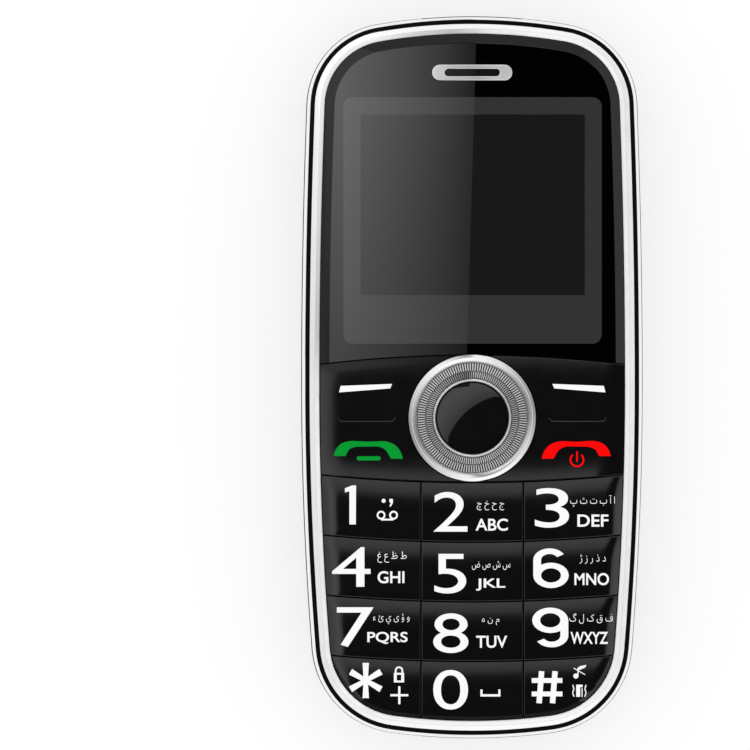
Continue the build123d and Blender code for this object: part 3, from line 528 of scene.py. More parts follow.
def rounded_mask(tree, place, low, high, radius):
    """White inside a rounded rectangle between two corners, black outside."""
    middle = ((low[0] + high[0]) / 2, (low[1] + high[1]) / 2, 0)
    straight = ((high[0] - low[0]) / 2 - radius, (high[1] - low[1]) / 2 - radius, 1)
    spot = place
    for operation, *other in (("SUBTRACT", middle), ("ABSOLUTE",), ("SUBTRACT", straight),
                              ("MAXIMUM", (0, 0, 0)), ("LENGTH",)):
        step = shader_node(tree, "VectorMath", dict(enumerate([spot, *other])), operation=operation)
        spot = step.outputs[0]
    soft_edge = 0.03 * mm
    return ranged(tree, step.outputs["Value"], radius - soft_edge, radius + soft_edge, 1, 0)


def layered(tree, below, above_colour, mask):
    """Lays a printed colour over what is below it, where the mask is white."""
    colours = {"Factor": mask, "A": below, "B": (*above_colour, 1)}
    return shader_node(tree, "Mix", colours, data_type="RGBA").outputs["Result"]


lens_ink = (0.0006, 0.0006, 0.0007)
tray_tint = (0.0355, 0.0355, 0.0365)
picture_tint = (0.0107, 0.0107, 0.011)
lens_black = finish("printed_lens", lens_ink, 0.02, grain=6 * mm, relief=0.0002 * mm, specular=1.0)
lens_edge = finish("printed_lens_edge", lens_ink, 0.05, grain=6 * mm, relief=0.0002 * mm, specular=0.33)
tree = lens_black.node_tree
shader = tree.nodes["Principled BSDF"]
place = object_place(tree)
base = shader.inputs["Base Color"].links[0].from_socket
base = layered(tree, base, tray_tint, rounded_mask(tree, place, window_low, window_high, window_r))
base = layered(tree, base, picture_tint, rounded_mask(tree, place, picture_low, picture_high, picture_r))
tree.links.new(base, shader.inputs["Base Color"])

lens_inset = rim_inset + 2 * seat_gap
lens = new_piece(swept([
    (lens_inset, lens_low.z),
    (lens_inset, rim_high_z - 0.06 * mm),
    (lens_inset + 0.05 * mm, rim_high_z),
    (rim_inset + face_slope - 0.06 * mm, lens_high.z - 0.015 * mm),
    (rim_inset + face_slope + 0.06 * mm, lens_high.z),
], closed=False), "screen_lens")


def slot_plug(width, height, y, low, high):
    """Upright bar with round ends, which lies across the phone."""
    bm = bmesh.new()
    reach = (width - height) / 2
    tip = bm.verts.new((reach, y - height / 2, low))
    for hand in (1, -1):
        tip = spun(bm, [tip], (hand * reach, y), pi, 20)[0]
        tip = bmesh.ops.extrude_vert_indiv(bm, verts=[tip])["verts"][0]
        bmesh.ops.translate(bm, vec=(-2 * hand * reach, 0, 0), verts=[tip])
    bmesh.ops.remove_doubles(bm, verts=bm.verts, dist=weld)
    base = bmesh.ops.contextual_create(bm, geom=list(bm.edges))["faces"]
    raised = bmesh.ops.extrude_face_region(bm, geom=base)["geom"]
    bmesh.ops.translate(bm, vec=(0, 0, high - low), verts=verts_of(raised))
    return bm


trim_low, trim_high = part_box("earpiece_trim")
trim_y = (trim_low.y + trim_high.y) / 2
trim_width = trim_high.x - trim_low.x
trim_height = trim_high.y - trim_low.y
tool_low = lens_low.z - 1 * mm
tool_high = lens_high.z + 1 * mm
arch_segments = 1440
hole_segments = 128
cut(lens, round_tool(0, arch_y - arch_r, arch_r + key_gap / 2, tool_low, tool_high, arch_segments))
cut(lens, round_tool(0, nav_y, nav_r + key_gap, tool_low, tool_high, hole_segments))
cut(lens, slot_plug(trim_width + 2 * seat_gap, trim_height + 2 * seat_gap, trim_y, tool_low, tool_high))
lens.data.set_sharp_from_angle(angle=radians(6))
fit_out(lens, lens_black, "phone", "lens", "display_lens")
lens.data.materials.append(lens_edge)
slopes = [0.5 < face.normal.z < 0.995 for face in lens.data.polygons]
lens.data.polygons.foreach_set("material_index", [int(sloped) for sloped in slopes])

# Ear slot: a bright plated oval set in the lens, with a fine woven screen low inside it.
# The oval is polished and rounded over its rim.
slot_low, slot_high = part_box("earpiece_mesh")
slot_width = slot_high.x - slot_low.x
slot_height = slot_high.y - slot_low.y
oval = new_piece(slot_plug(trim_width, trim_height, trim_y, trim_low.z, trim_high.z), "ear_slot_trim")
cut(oval, slot_plug(slot_width, slot_height, trim_y, trim_low.z - 1 * mm, trim_high.z + 1 * mm))
softened(oval, 0.14 * mm, segments=3, corner=50)
fit_out(oval, face_chrome, "phone", "face_chrome", "earpiece_trim")

mesh_black = finish("woven_screen", (0.009, 0.009, 0.009), 0.12)
mesh_pitch = 0.3 * mm
mesh_rows = 4
woven = perforated(slot_width, slot_height, mesh_pitch, mesh_rows, 0.08 * mm, 0.1 * mm,
                   slot_high.z - slot_low.z)
bmesh.ops.translate(woven, vec=(slot_low.x, slot_low.y, slot_high.z), verts=woven.verts)
ear_mesh = new_piece(woven, "ear_slot_screen", sharp=25)
slot_room = slot_plug(slot_width, slot_height, trim_y, slot_low.z - 1 * mm, slot_high.z + 1 * mm)
cut(ear_mesh, slot_room, "INTERSECT")
fit_out(ear_mesh, mesh_black, "phone", "mesh_black", "earpiece_mesh")

# Control ring: a turned bright ring with a ridged rim, a finely toothed ring pressed inside
# it and a narrow polished ring round the centre key. The three tip together; the centre key
# is a glossy black dome that is pressed on its own.
ring_metal = finish("turned_bright", (0.85, 0.85, 0.86), 0.2, metal=1, grain=0.5 * mm, relief=0.001 * mm,
                    drift=0.05)
knurl_metal = finish("cut_teeth", (0.52, 0.52, 0.53), 0.24, metal=1, drift=0.05)
key_gloss = finish("polished_key", (0.0048, 0.0048, 0.005), 0.03, grain=4 * mm, relief=0.0002 * mm)
ring_steps = 144


def turned(profile, name, closed=True, sharp=real_corner):
    """Turns an outline of (radius, height) points about the control's middle."""
    bm = bmesh.new()
    chain = [bm.verts.new((r, nav_y, z)) for r, z in profile]
    pairs = list(zip(chain, chain[1:]))
    if closed:
        pairs.append((chain[-1], chain[0]))
    edges = [bm.edges.new(pair) for pair in pairs]
    spun(bm, chain + edges, (0, nav_y), tau, ring_steps, use_merge=True)
    bmesh.ops.remove_doubles(bm, verts=bm.verts, dist=weld)
    return new_piece(bm, name, sharp)


rim_width = 1.3 * mm
base_top_z = 14.7 * mm
hole_r = 5.65 * mm
ridge_r = nav_r - 0.5 * mm
outer_drop = 0.27 * mm
inner_drop = 0.4 * mm
round_over = 0.1 * mm
outer_ring = turned([
    (hole_r, nav_low.z),
    (nav_r, nav_low.z),
    (nav_r, nav_high.z - outer_drop - 0.06 * mm),
    (nav_r - 0.03 * mm, nav_high.z - outer_drop),
    (ridge_r + round_over, nav_high.z - 0.07 * mm),
    (ridge_r + round_over / 3, nav_high.z - 0.01 * mm),
    (ridge_r, nav_high.z),
    (ridge_r - round_over / 3, nav_high.z - 0.01 * mm),
    (ridge_r - round_over, nav_high.z - 0.05 * mm),
    (nav_r - rim_width + 0.05 * mm, nav_high.z - inner_drop),
    (nav_r - rim_width, nav_high.z - inner_drop - 0.08 * mm),
    (nav_r - rim_width, base_top_z),
    (hole_r, base_top_z),
], "control_ring")
fit_out(outer_ring, ring_metal, "nav_ring", "ring_metal", "nav_ring")

teeth = 130
tooth_dip = 0.2 * mm
tooth_shift_shares = (0.0, 0.25, 0.06, 0.19)
knurl_low, knurl_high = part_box("nav_knurl_ring")
knurl_outer = knurl_high.x
knurl_inner = 6.25 * mm
knurl_mid = (knurl_outer + knurl_inner) / 2 - 0.1 * mm
valley_dip = 0.45 * mm
tooth_end = 0.05 * mm
# The floors between the teeth get a near-black matt finish: painted shade for the narrow gaps.
painted_gap_shade = finish("tooth_gap_painted_shade", (0.01, 0.01, 0.01), 0.6)
tooth_rows = [
    (knurl_outer, knurl_low.z, 0, 0),
    (knurl_outer, knurl_high.z - tooth_dip, 0, 0),
    (knurl_outer - tooth_end, knurl_high.z, tooth_dip, 0),
    (knurl_mid + tooth_end, knurl_high.z - valley_dip, tooth_dip, 0),
    (knurl_mid - tooth_end, knurl_high.z - valley_dip, tooth_dip, 2),
    (knurl_inner + tooth_end, knurl_high.z, tooth_dip, 2),
    (knurl_inner, knurl_high.z - tooth_dip, 0, 0),
    (knurl_inner, knurl_low.z, 0, 0),
]
bm = bmesh.new()
bmesh.ops.create_grid(bm, x_segments=4, y_segments=len(tooth_rows), size=0.5)
floors = set()
for vert in bm.verts:
    place_round = round((vert.co.x + 0.5) * 4)
    radius, height, dip, phase = tooth_rows[round((vert.co.y + 0.5) * len(tooth_rows)) % len(tooth_rows)]
    corner = (place_round - phase) % 4
    angle = (place_round / 4 + tooth_shift_shares[corner]) * tau / teeth
    if corner > 1 and dip:
        floors.add(vert)
        height -= dip
    vert.co = (radius * cos(angle), nav_y + radius * sin(angle), height)
# Faces that lie wholly on the tooth floors take the painted shade.
for face in bm.faces:
    face.material_index = int(all(vert in floors for vert in face.verts))
tooth = list(bm.verts) + list(bm.edges) + list(bm.faces)
spun(bm, tooth, (0, nav_y), tau * (teeth - 1) / teeth, teeth - 1, use_duplicate=True)
bmesh.ops.remove_doubles(bm, verts=bm.verts, dist=weld)
gaps = [face.material_index for face in bm.faces]
tooth_ring = new_piece(bm, "toothed_ring", sharp=20)
fit_out(tooth_ring, knurl_metal, "nav_ring", "knurl_metal", "nav_knurl_ring")
tooth_ring.data.materials.append(painted_gap_shade)
tooth_ring.data.polygons.foreach_set("material_index", gaps)

inner_low, inner_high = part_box("nav_inner_ring")
inner_r = inner_high.x
inner_mid = (inner_r + hole_r) / 2
inner_ring = turned([
    (hole_r, inner_low.z),
    (inner_r, inner_low.z),
    (inner_r, inner_high.z - 0.25 * mm),
    (inner_mid + 0.08 * mm, inner_high.z - 0.03 * mm),
    (inner_mid, inner_high.z),
    (inner_mid - 0.08 * mm, inner_high.z - 0.03 * mm),
    (hole_r, inner_high.z - 0.25 * mm),
], "inner_bright_ring", sharp=50)
fit_out(inner_ring, ring_metal, "nav_ring", "ring_metal", "nav_inner_ring")

centre_low, centre_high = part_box("center_key")
centre_r = centre_high.x
dome_rise = 0.5 * mm
dome_points = 16
plunger_r = 1.6 * mm
key_floor_z = 13.1 * mm
section = [
    (0, centre_low.z),
    (plunger_r, centre_low.z),
    (plunger_r, key_floor_z),
    (centre_r, key_floor_z),
    (centre_r, centre_high.z - dome_rise - 0.06 * mm),
    (centre_r - 0.04 * mm, centre_high.z - dome_rise),
]
for count in range(1, dome_points + 1):
    r = centre_r * (1 - count / dome_points)
    section.append((r, centre_high.z - dome_rise * (r / centre_r) ** 2))
centre_key = turned(section, "centre_key", closed=False)
fit_out(centre_key, key_gloss, "center_key", "key_gloss", "center_key")

# Function keys: one rocking plate on each side of the control ring, moulded in black with a
# fine raised bar across its middle. It falls away at the lens and rises again to the number
# keys. A white dash and a green or red handset mark are printed above and below the bar.
key_black = finish("key_black", (0.0035, 0.0035, 0.0037), 0.13, grain=0.1 * mm, relief=0.0008 * mm)
plate_mid_z = 15.78 * mm
plate_fall = 0.14 * mm
plate_rise = 0.22 * mm
fall_reach = 4.2 * mm
rise_reach = 4.6 * mm
row_top_y = -16.5 * mm
row_bend_r = 235.0 * mm
row_centre_y = row_top_y + row_bend_r
function_inner_x = 1.2 * mm
face_edge = rim_inset + key_gap
key_side_rise = 0.3
plate_side_rise = 0.15
end_step = 0.9 * mm
edge_blend = 0.25 * mm
round_shares = ((0.0, 0.08 * mm), (0.04 * mm, 0.02 * mm), (0.1 * mm, 0.0), (0.16 * mm, 0.0))
face_grid = 0.5 * mm
lowest_face_z = 14.0 * mm
side_arcs = right_side(0)


def edge_limit(x, y, rise):
    """Height that the sloped border of the face allows at a place."""
    spot = Vector((abs(x), y))
    limit = 1
    for centre, radius, start, end in side_arcs:
        arm = spot - centre
        if end - 0.001 <= atan2(arm.y, arm.x) <= start + 0.001:
            down = max(0, -arm.y / arm.length) ** 2
            limit = min(limit, rim_high_z + end_step * down + (radius - arm.length - face_edge) * rise)
    return limit


def lower_of(a, b):
    """The lower of two heights, blended smoothly where they cross."""
    share = max(edge_blend - abs(a - b), 0) / edge_blend
    return min(a, b) - share * share * edge_blend / 4


def plate_height(x, y):
    """Height of a function plate's face at a place."""
    from_lens = arch_r - hypot(x, y - arch_y + arch_r)
    from_rows = row_bend_r - hypot(x, y - row_centre_y)
    fall = max(0, 1 - from_lens / fall_reach) ** 2 * plate_fall
    rise = max(0, 1 - from_rows / rise_reach) ** 2 * plate_rise
    return lower_of(plate_mid_z - fall + rise, edge_limit(x, y, plate_side_rise))


def stations(length, rounded=(True, True)):
    """Places across a face, close together at its rounded edges, with the edges' fall."""
    ends = [(at, fall) for at, fall in round_shares] if rounded[0] else [(0, 0)]
    tail = [(length - at, fall) for at, fall in reversed(round_shares)] if rounded[1] else [(length, 0)]
    middle = ceil((tail[0][0] - ends[-1][0]) / face_grid)
    step = (tail[0][0] - ends[-1][0]) / middle
    return ends + [(ends[-1][0] + step * count, 0) for count in range(1, middle)] + tail


def moulded(name, low_x, high_x, y_top, y_bottom, height_at, rounded_x, rounded_y):
    """A key between two straight sides and two curved ones, with a crowned face."""
    across = stations(high_x - low_x, rounded_x)
    span = y_top(0) - y_bottom(0)
    down = stations(span, rounded_y)
    bm = bmesh.new()
    bmesh.ops.create_grid(bm, x_segments=len(across) - 1, y_segments=len(down) - 1, size=0.5)
    for vert in bm.verts:
        at_x, fall_x = across[round((vert.co.x + 0.5) * (len(across) - 1))]
        at_y, fall_y = down[round((vert.co.y + 0.5) * (len(down) - 1))]
        x = low_x + at_x
        y = y_top(x) + (y_bottom(x) - y_top(x)) * at_y / span
        vert.co = (x, y, max(height_at(x, y) - max(fall_x, fall_y), lowest_face_z))
    below = bmesh.ops.extrude_face_region(bm, geom=list(bm.faces))["geom"]
    for vert in verts_of(below):
        vert.co.z = key_floor_z
    return new_piece(bm, name, sharp=50)


def inside_face(piece):
    """Cuts a key to the room inside the bright face ring, and bevels what stands over it."""
    room = [(face_edge, cut_low), (face_edge, bevel_z), (face_edge + bevel_reach, bevel_z + bevel_rise)]
    cut(piece, swept(room, closed=False), "INTERSECT")
    piece.data.set_sharp_from_angle(angle=radians(40))
    return piece


def with_plungers(piece, places):
    """Adds the short feet that press the switches."""
    bm = bmesh.new()
    bm.from_mesh(piece.data)
    length = key_floor_z - centre_low.z
    for x, y in places:
        foot = bmesh.ops.create_cone(bm, cap_ends=True, segments=32, radius1=plunger_r,
                                     radius2=plunger_r, depth=length)
        bmesh.ops.translate(bm, vec=(x, y, centre_low.z + length / 2), verts=foot["verts"])
    bm.to_mesh(piece.data)
    bm.free()
    piece.data.set_sharp_from_angle(angle=radians(40))
    return piece


def lens_side(x):
    """Upper edge of the function plates, under the lens."""
    return arch_y - arch_r + sqrt((arch_r - key_gap / 2) ** 2 - x ** 2)


def mesh_of(curve):
    """The mesh that a round line or a line of letters fills."""
    holder = bpy.data.objects.new("holder", curve)
    bpy.context.scene.collection.objects.link(holder)
    bpy.context.view_layer.update()
    graph = bpy.context.evaluated_depsgraph_get()
    mesh = bpy.data.meshes.new_from_object(holder.evaluated_get(graph))
    bpy.data.objects.remove(holder)
    return mesh


def row_line(radius):
    """A curved line across the keys, as a function of x."""
    return lambda x: row_centre_y - sqrt(radius ** 2 - x ** 2)


cut_low, cut_high = key_floor_z - 1 * mm, nav_high.z + 1 * mm
bevel_z = rim_high_z + 0.03 * mm
bevel_reach = 0.8 * mm
bevel_rise = 0.68 * mm
plunger_x = 16.6 * mm
plunger_reach = 6.2 * mm
for hand, side_name in ((-1, "left"), (1, "right")):
    low_x, high_x = sorted((hand * function_inner_x, hand * half_width))
    plate = moulded(f"{side_name}_plate", low_x, high_x, lens_side, row_line(row_bend_r - key_gap / 2),
                    plate_height, (hand > 0, hand < 0), (True, True))
    inside_face(plate)
    cut(plate, round_tool(0, nav_y, nav_r + key_gap, cut_low, cut_high, hole_segments))
    with_plungers(plate, [(hand * plunger_x, nav_y + way * plunger_reach) for way in (1, -1)])
    fit_out(plate, key_black, f"{side_name}_function_key", "key_black", f"{side_name}_function_key")

bar_line = [(20.95, -6.35), (20.75, -6.9), (20.1, -6.95), (16.5, -6.95), (12.9, -6.95), (12.3, -6.9),
            (12.05, -6.3)]
bar_r = 0.12 * mm
for hand, side_name in ((-1, "left"), (1, "right")):
    curve = bpy.data.curves.new("bar", "CURVE")
    curve.dimensions = "3D"
    curve.bevel_depth = bar_r
    curve.bevel_resolution = 3
    curve.use_fill_caps = True
    line = curve.splines.new("NURBS")
    line.points.add(len(bar_line) - 1)
    for point, (x, y) in zip(line.points, bar_line):
        point.co = (hand * x * mm, y * mm, plate_height(x * mm, y * mm), 1)
    line.use_endpoint_u = True
    line.order_u = 3
    bead = bmesh.new()
    bead.from_mesh(mesh_of(curve))
    bmesh.ops.remove_doubles(bead, verts=bead.verts, dist=weld)
    bar_piece = new_piece(bead, f"{side_name}_plate_bar", sharp=60)
    dress(bar_piece, key_black, f"{side_name}_function_key")

# Number keys: twelve moulded black keys in four curved rows. Each falls away at its upper
# edge and lies flat below, slopes down to the bright ring where it meets it, and stands on
# a foot of its own.
rows = [["key_1", "key_2", "key_3"], ["key_4", "key_5", "key_6"],
        ["key_7", "key_8", "key_9"], ["key_star", "key_0", "key_hash"]]
column_x = 8.0 * mm
outer_key_x = 15.6 * mm
row_pitch = (row_top_y - bottom_y - rim_inset) / len(rows)
key_crest_z = 16.04 * mm
pillow_fall = 0.26 * mm
pillow_share = 0.46
roll_share = 0.94
roll_fall = 0.04 * mm


def row_edges(row):
    """Radii of a row's upper and lower edges about the far centre of the rows."""
    return row_bend_r + row_pitch * row + key_gap / 2, row_bend_r + row_pitch * (row + 1) - key_gap / 2


def key_height(row):
    """Height of the key faces of one row, as a function of the place."""
    near, far = row_edges(row)

    def height(x, y):
        share = (hypot(x, y - row_centre_y) - near) / (far - near)
        fall = max(0, 1 - share / pillow_share) ** 2 * pillow_fall
        roll = max(0, (share - roll_share) / (1 - roll_share)) ** 2 * roll_fall * (row < len(rows) - 1)
        return lower_of(key_crest_z - fall - roll, edge_limit(x, y, key_side_rise))
    return height


column_edges = [-half_width, -column_x, column_x, half_width]
for row, names in enumerate(rows):
    near, far = row_edges(row)
    last = row == len(rows) - 1
    for column, name in enumerate(names):
        low_x = column_edges[column] + key_gap / 2
        high_x = column_edges[column + 1] - key_gap / 2
        cap = moulded(name + "_cap", low_x, high_x, row_line(near), row_line(far + row_pitch / 2 * last),
                      key_height(row), (column > 0, column < 2), (True, not last))
        if column != 1 or last:
            inside_face(cap)
        foot_x = (column - 1) * outer_key_x
        foot_y = row_line((near + far) / 2)(foot_x)
        with_plungers(cap, [(foot_x, foot_y)])
        fit_out(cap, key_black, name, "key_black", name)

# Printed marks: thin white, green and red ink, numbers and letters as on any phone's keys.
# Each mark is laid on the curved face of its key and rides with it.
print_white = finish("print_white", (0.97, 0.97, 0.97), 0.6, drift=0.02, specular=0.05)
print_green = finish("print_green", (0.0, 0.32, 0.03), 0.6, drift=0.04, specular=0.05)
print_red = finish("print_red", (1.0, 0.0, 0.0), 0.6, drift=0.02, specular=0.05)
ink = 0.04 * mm
stroke_lift = 0.0015 * mm
slice_step = 0.5 * mm
slice_shift = 0.37


def fitted(bm, mesh, left, low, width, height):
    """Adds a flat mesh, stretched to fill a box given by its lower left corner and size."""
    xs = [v.co.x for v in mesh.vertices]
    ys = [v.co.y for v in mesh.vertices]
    grow = Vector((width * mm / (max(xs) - min(xs)), height * mm / (max(ys) - min(ys)), 1))
    move = Vector((left * mm - min(xs) * grow.x, low * mm - min(ys) * grow.y, 0))
    mesh.transform(Matrix.Translation(move) @ Matrix.Diagonal((*grow, 1)))
    bm.from_mesh(mesh)


def lettering(bm, text, left, low, width, height, weight):
    """Adds letters that fill a box. A fill can drop a letter, so the fullest of three is kept."""
    curve = bpy.data.curves.new("letters", "FONT")
    curve.body = text
    curve.offset = weight
    fills = []
    for fineness in (2, 4, 8):
        curve.resolution_u = fineness
        fills.append(mesh_of(curve))
    mesh = max(fills, key=lambda fill: sum(face.area for face in fill.polygons))
    fitted(bm, mesh, left, low, width, height)


def next_level(bm):
    """Height of the next stroke, a hair above the last, so that strokes can cross."""
    return max((v.co.z for v in bm.verts), default=0) + stroke_lift


def shape(bm, points, soft=0.0):
    """Adds one flat mark from its corners, each (x, y) or (x, y, its own softness)."""
    level = next_level(bm)
    face = bm.faces.new([bm.verts.new((point[0] * mm, point[1] * mm, level)) for point in points])
    for vert, point in zip(list(face.verts), points):
        offset = point[2] if len(point) > 2 else soft
        if offset:
            bmesh.ops.bevel(bm, geom=[vert], offset=offset * mm, offset_type="OFFSET", affect="VERTICES",
                            segments=4, profile=0.5, material=-1)


def hoop(bm, x, y, r, width, start=0.0, turn=tau):
    """Adds a flat ring or part of one."""
    level = next_level(bm)
    ends = [bm.verts.new(((x + reach * cos(start)) * mm, (y + reach * sin(start)) * mm, level))
            for reach in (r - width / 2, r + width / 2)]
    edge = bm.edges.new(ends)
    spun(bm, ends + [edge], (x * mm, y * mm), turn, 24, use_merge=abs(turn) >= tau)


def bar(bm, x0, y0, x1, y1, width):
    """Adds a straight flat stroke."""
    along = Vector((x1 - x0, y1 - y0)).normalized() * width / 2
    side = Vector((-along.y, along.x))
    shape(bm, [(x0 - side.x, y0 - side.y), (x1 - side.x, y1 - side.y), (x1 + side.x, y1 + side.y),
               (x0 + side.x, y0 + side.y)])


def printed(bm, name, body, material, height_at):
    """Slices a flat mark finely, lays it on its key's face and gives it the ink's thickness."""
    bm.normal_update()
    bmesh.ops.triangulate(bm, faces=bm.faces)
    for axis, normal in ((0, (1, 0, 0)), (1, (0, 1, 0))):
        low = min(v.co[axis] for v in bm.verts)
        high = max(v.co[axis] for v in bm.verts)
        for count in range(1, ceil((high - low) / slice_step)):
            place = Vector((0, 0, 0))
            place[axis] = low + (count - slice_shift) * slice_step
            geom = list(bm.verts) + list(bm.edges) + list(bm.faces)
            bmesh.ops.bisect_plane(bm, geom=geom, plane_co=place, plane_no=normal)
    bmesh.ops.triangulate(bm, faces=bm.faces)
    bm.normal_update()
    bmesh.ops.reverse_faces(bm, faces=[f for f in bm.faces if f.normal.z < 0])
    for vert in bm.verts:
        vert.co.z += height_at(vert.co.x, vert.co.y) - ink / 2
    raised = bmesh.ops.extrude_face_region(bm, geom=list(bm.faces))["geom"]
    bmesh.ops.translate(bm, vec=(0, 0, ink), verts=verts_of(raised))
    dress(new_piece(bm, name, sharp=40, turn_outward=False), material, body)


digit_places = {
    "key_2": ("2", -6.04, -24.18, 5.3), "key_3": ("3", 9.79, -23.57, 5.35),
    "key_4": ("4", -21.9, -32.8, 6.0), "key_5": ("5", -5.93, -33.85, 5.0),
    "key_7": ("7", -21.16, -42.2, 5.75), "key_8": ("8", -6.1, -43.15, 5.5),
    "key_0": ("0", -6.1, -52.0, 5.45),
}
digit_height = 6.2
letter_places = {
    "key_2": ("ABC", 0.52, -24.04, 5.05), "key_3": ("DEF", 16.44, -23.4, 4.85),
    "key_4": ("GHI", -14.8, -32.25, 4.2), "key_5": ("JKL", 0.58, -33.4, 4.6),
    "key_6": ("MNO", 15.98, -32.55, 5.4), "key_7": ("PQRS", -16.4, -41.75, 6.3),
    "key_8": ("TUV", 0.61, -42.35, 4.85), "key_9": ("WXYZ", 15.37, -41.75, 5.85),
}
letter_height = 1.9
small_places = {
    "key_2": ("چ خ ح ج", 0.72, -20.83, 4.28, 1.47),
    "key_3": ("پ ث ت ب آ ا", 15.31, -20.3, 7.0, 1.8),
    "key_4": ("غ ع ظ ط", -14.81, -29.03, 4.57, 1.74),
    "key_5": ("ض ص ش س", -0.05, -30.15, 6.0, 1.4),
    "key_6": ("ژ ز ر ذ د", 16.78, -29.22, 4.1, 1.47),
    "key_7": ("ء ئ ي ى ؤ و", -15.5, -38.63, 5.7, 1.64),
    "key_8": ("ه ن م", 1.52, -38.8, 2.72, 1.14),
    "key_9": ("گ ل ک ق ف", 15.2, -38.57, 6.8, 1.67),
}
letter_weight, small_weight = 0.016, -0.006
marks = {name: bmesh.new() for names in rows for name in names}
for name, (text, left, low, width) in digit_places.items():
    lettering(marks[name], text, left, low, width, digit_height, 0.0)
for name, (text, left, low, width) in letter_places.items():
    lettering(marks[name], text, left, low, width, letter_height, letter_weight)
for name, (text, left, low, width, height) in small_places.items():
    lettering(marks[name], text, left, low, width, height, small_weight)

bowl_r, hook_r, stroke = 0.25, 0.225, 0.14
bowl_x = stroke / 2 + bowl_r
hook_x = stroke / 2 + hook_r
for name, turned_over, left, low, width in (("key_6", False, 9.54, -33.0, 5.55),
                                            ("key_9", True, 9.37, -42.25, 5.65)):
    six = bmesh.new()
    hoop(six, bowl_x, bowl_x, bowl_r, stroke)
    hoop(six, hook_x, 1 - hook_x, hook_r, stroke, pi, radians(-150))
    bar(six, stroke / 2, bowl_x, stroke / 2, 1 - hook_x, stroke)
    if turned_over:
        bmesh.ops.rotate(six, verts=six.verts, cent=(0, 0, 0), matrix=Matrix.Rotation(pi, 3, "Z"))
    flat = bpy.data.meshes.new("six")
    six.to_mesh(flat)
    six.free()
    fitted(marks[name], flat, left, low, width, digit_height)

one = marks["key_1"]
shape(one, [(-19.2, -23.05), (-18.2, -23.05), (-18.16, -16.95), (-18.75, -16.95), (-19.9, -17.4),
            (-19.9, -18.05), (-19.2, -17.85)])
reel_x, reel_y, reel_r, reel_line = (-14.25, -12.3), -21.6, 0.55, 0.28
for x in reel_x:
    hoop(one, x, reel_y, reel_r, reel_line)
bar(one, reel_x[0], -22.29, reel_x[1], -22.29, reel_line)
hoop(one, -13.85, -19.35, 0.17, 0.3)
shape(one, [(-12.95, -19.05), (-12.4, -19.05), (-12.4, -19.7), (-12.75, -20.3), (-12.95, -20.2),
            (-12.72, -19.65), (-12.95, -19.6)], 0.08)

star = marks["key_star"]
star_x, star_y, arm, arm_root, arm_tip = -16.65, -47.45, 2.75, 0.36, 0.5
outline = []
for count in range(6):
    turn = tau * count / 6 + pi / 2
    along = Vector((cos(turn), sin(turn)))
    side = Vector((along.y, -along.x))
    root = Vector((cos(turn + pi / 6), sin(turn + pi / 6))) * arm_root * 2
    for spot in (along * arm + side * arm_tip, along * arm - side * arm_tip, root):
        outline.append((star_x + spot.x, star_y + spot.y))
shape(star, outline)
lock_x, lock_y, lock_half, shackle_r, shackle_line = -11.45, -46.4, 0.8, 0.52, 0.27
lock_side = ((lock_half, 0.15), (lock_half, -1.35), (0.35, -1.05), (0.35, -0.15))
for y in (lock_y, lock_y - 1.2):
    bar(star, lock_x - lock_half, y, lock_x + lock_half, y, 0.3)
for hand in (1, -1):
    shape(star, [(lock_x + hand * x, lock_y + y) for x, y in lock_side])
    leg_x = lock_x + hand * shackle_r
    bar(star, leg_x, lock_y + 0.14, leg_x, lock_y + 0.5, shackle_line)
hoop(star, lock_x, lock_y + 0.5, shackle_r, shackle_line, 0, pi)
plus_x, plus_y, plus_arm, plus_half = -11.4, -49.75, 1.4, 0.17
quarter = [(plus_arm, -plus_half), (plus_arm, plus_half), (plus_half, plus_half)]
outline = []
for count in range(4):
    for x, y in quarter:
        for _ in range(count):
            x, y = -y, x
        outline.append((plus_x + x, plus_y + y))
shape(star, outline)

zero = marks["key_0"]
shape(zero, [(1.28, -49.95), (4.41, -49.95), (4.41, -48.85), (4.08, -48.85), (4.08, -49.6),
             (1.61, -49.6), (1.61, -48.85), (1.28, -48.85)])

hashed = marks["key_hash"]
hash_x, hash_y, hash_reach, hash_gap, hash_lean = 11.7, -48.5, 2.4, 1.05, 0.2
for way in (1, -1):
    level_y = hash_y + way * hash_gap
    upright_x = hash_x + way * hash_gap
    bar(hashed, hash_x - hash_reach, level_y, hash_x + hash_reach, level_y, 0.75)
    bar(hashed, upright_x - hash_lean, hash_y - 2.5, upright_x + hash_lean, hash_y + 2.5, 0.85)
note_x, note_y = 16.2, -46.75
flag = ((0.24, 1.25), (0.24, 0.8), (1.5, 1.35), (1.65, 1.75), (0.7, 1.55))
hoop(hashed, note_x, note_y, 0.2, 0.4)
bar(hashed, note_x + 0.33, note_y, note_x + 0.33, note_y + 1.25, 0.18)
shape(hashed, [(note_x + x, note_y + y) for x, y in flag])
bar(hashed, note_x - 0.35, note_y + 1.25, note_x + 1.45, note_y + 0.2, 0.14)
shake_x, shake_y = 16.75, -49.05
shaken = ((-0.5, -0.95), (0.12, -0.95), (0.12, 0.55), (0.5, 0.55), (0.5, 0.95), (-0.5, 0.95))
shape(hashed, [(shake_x + x, shake_y + y) for x, y in shaken])
bar(hashed, shake_x + 0.42, shake_y - 0.95, shake_x + 0.42, shake_y + 0.4, 0.16)
for hand in (-1, 1):
    for height, lean in ((0.62, 0.1), (0.0, -0.1), (-0.62, 0.1)):
        x = shake_x + hand * 0.95
        y = shake_y + height
        bar(hashed, x - hand * lean, y - 0.3, x + hand * lean, y + 0.3, 0.17)

for row, names in enumerate(rows):
    for name in names:
        printed(marks[name], name + "_print", name, print_white, key_height(row))

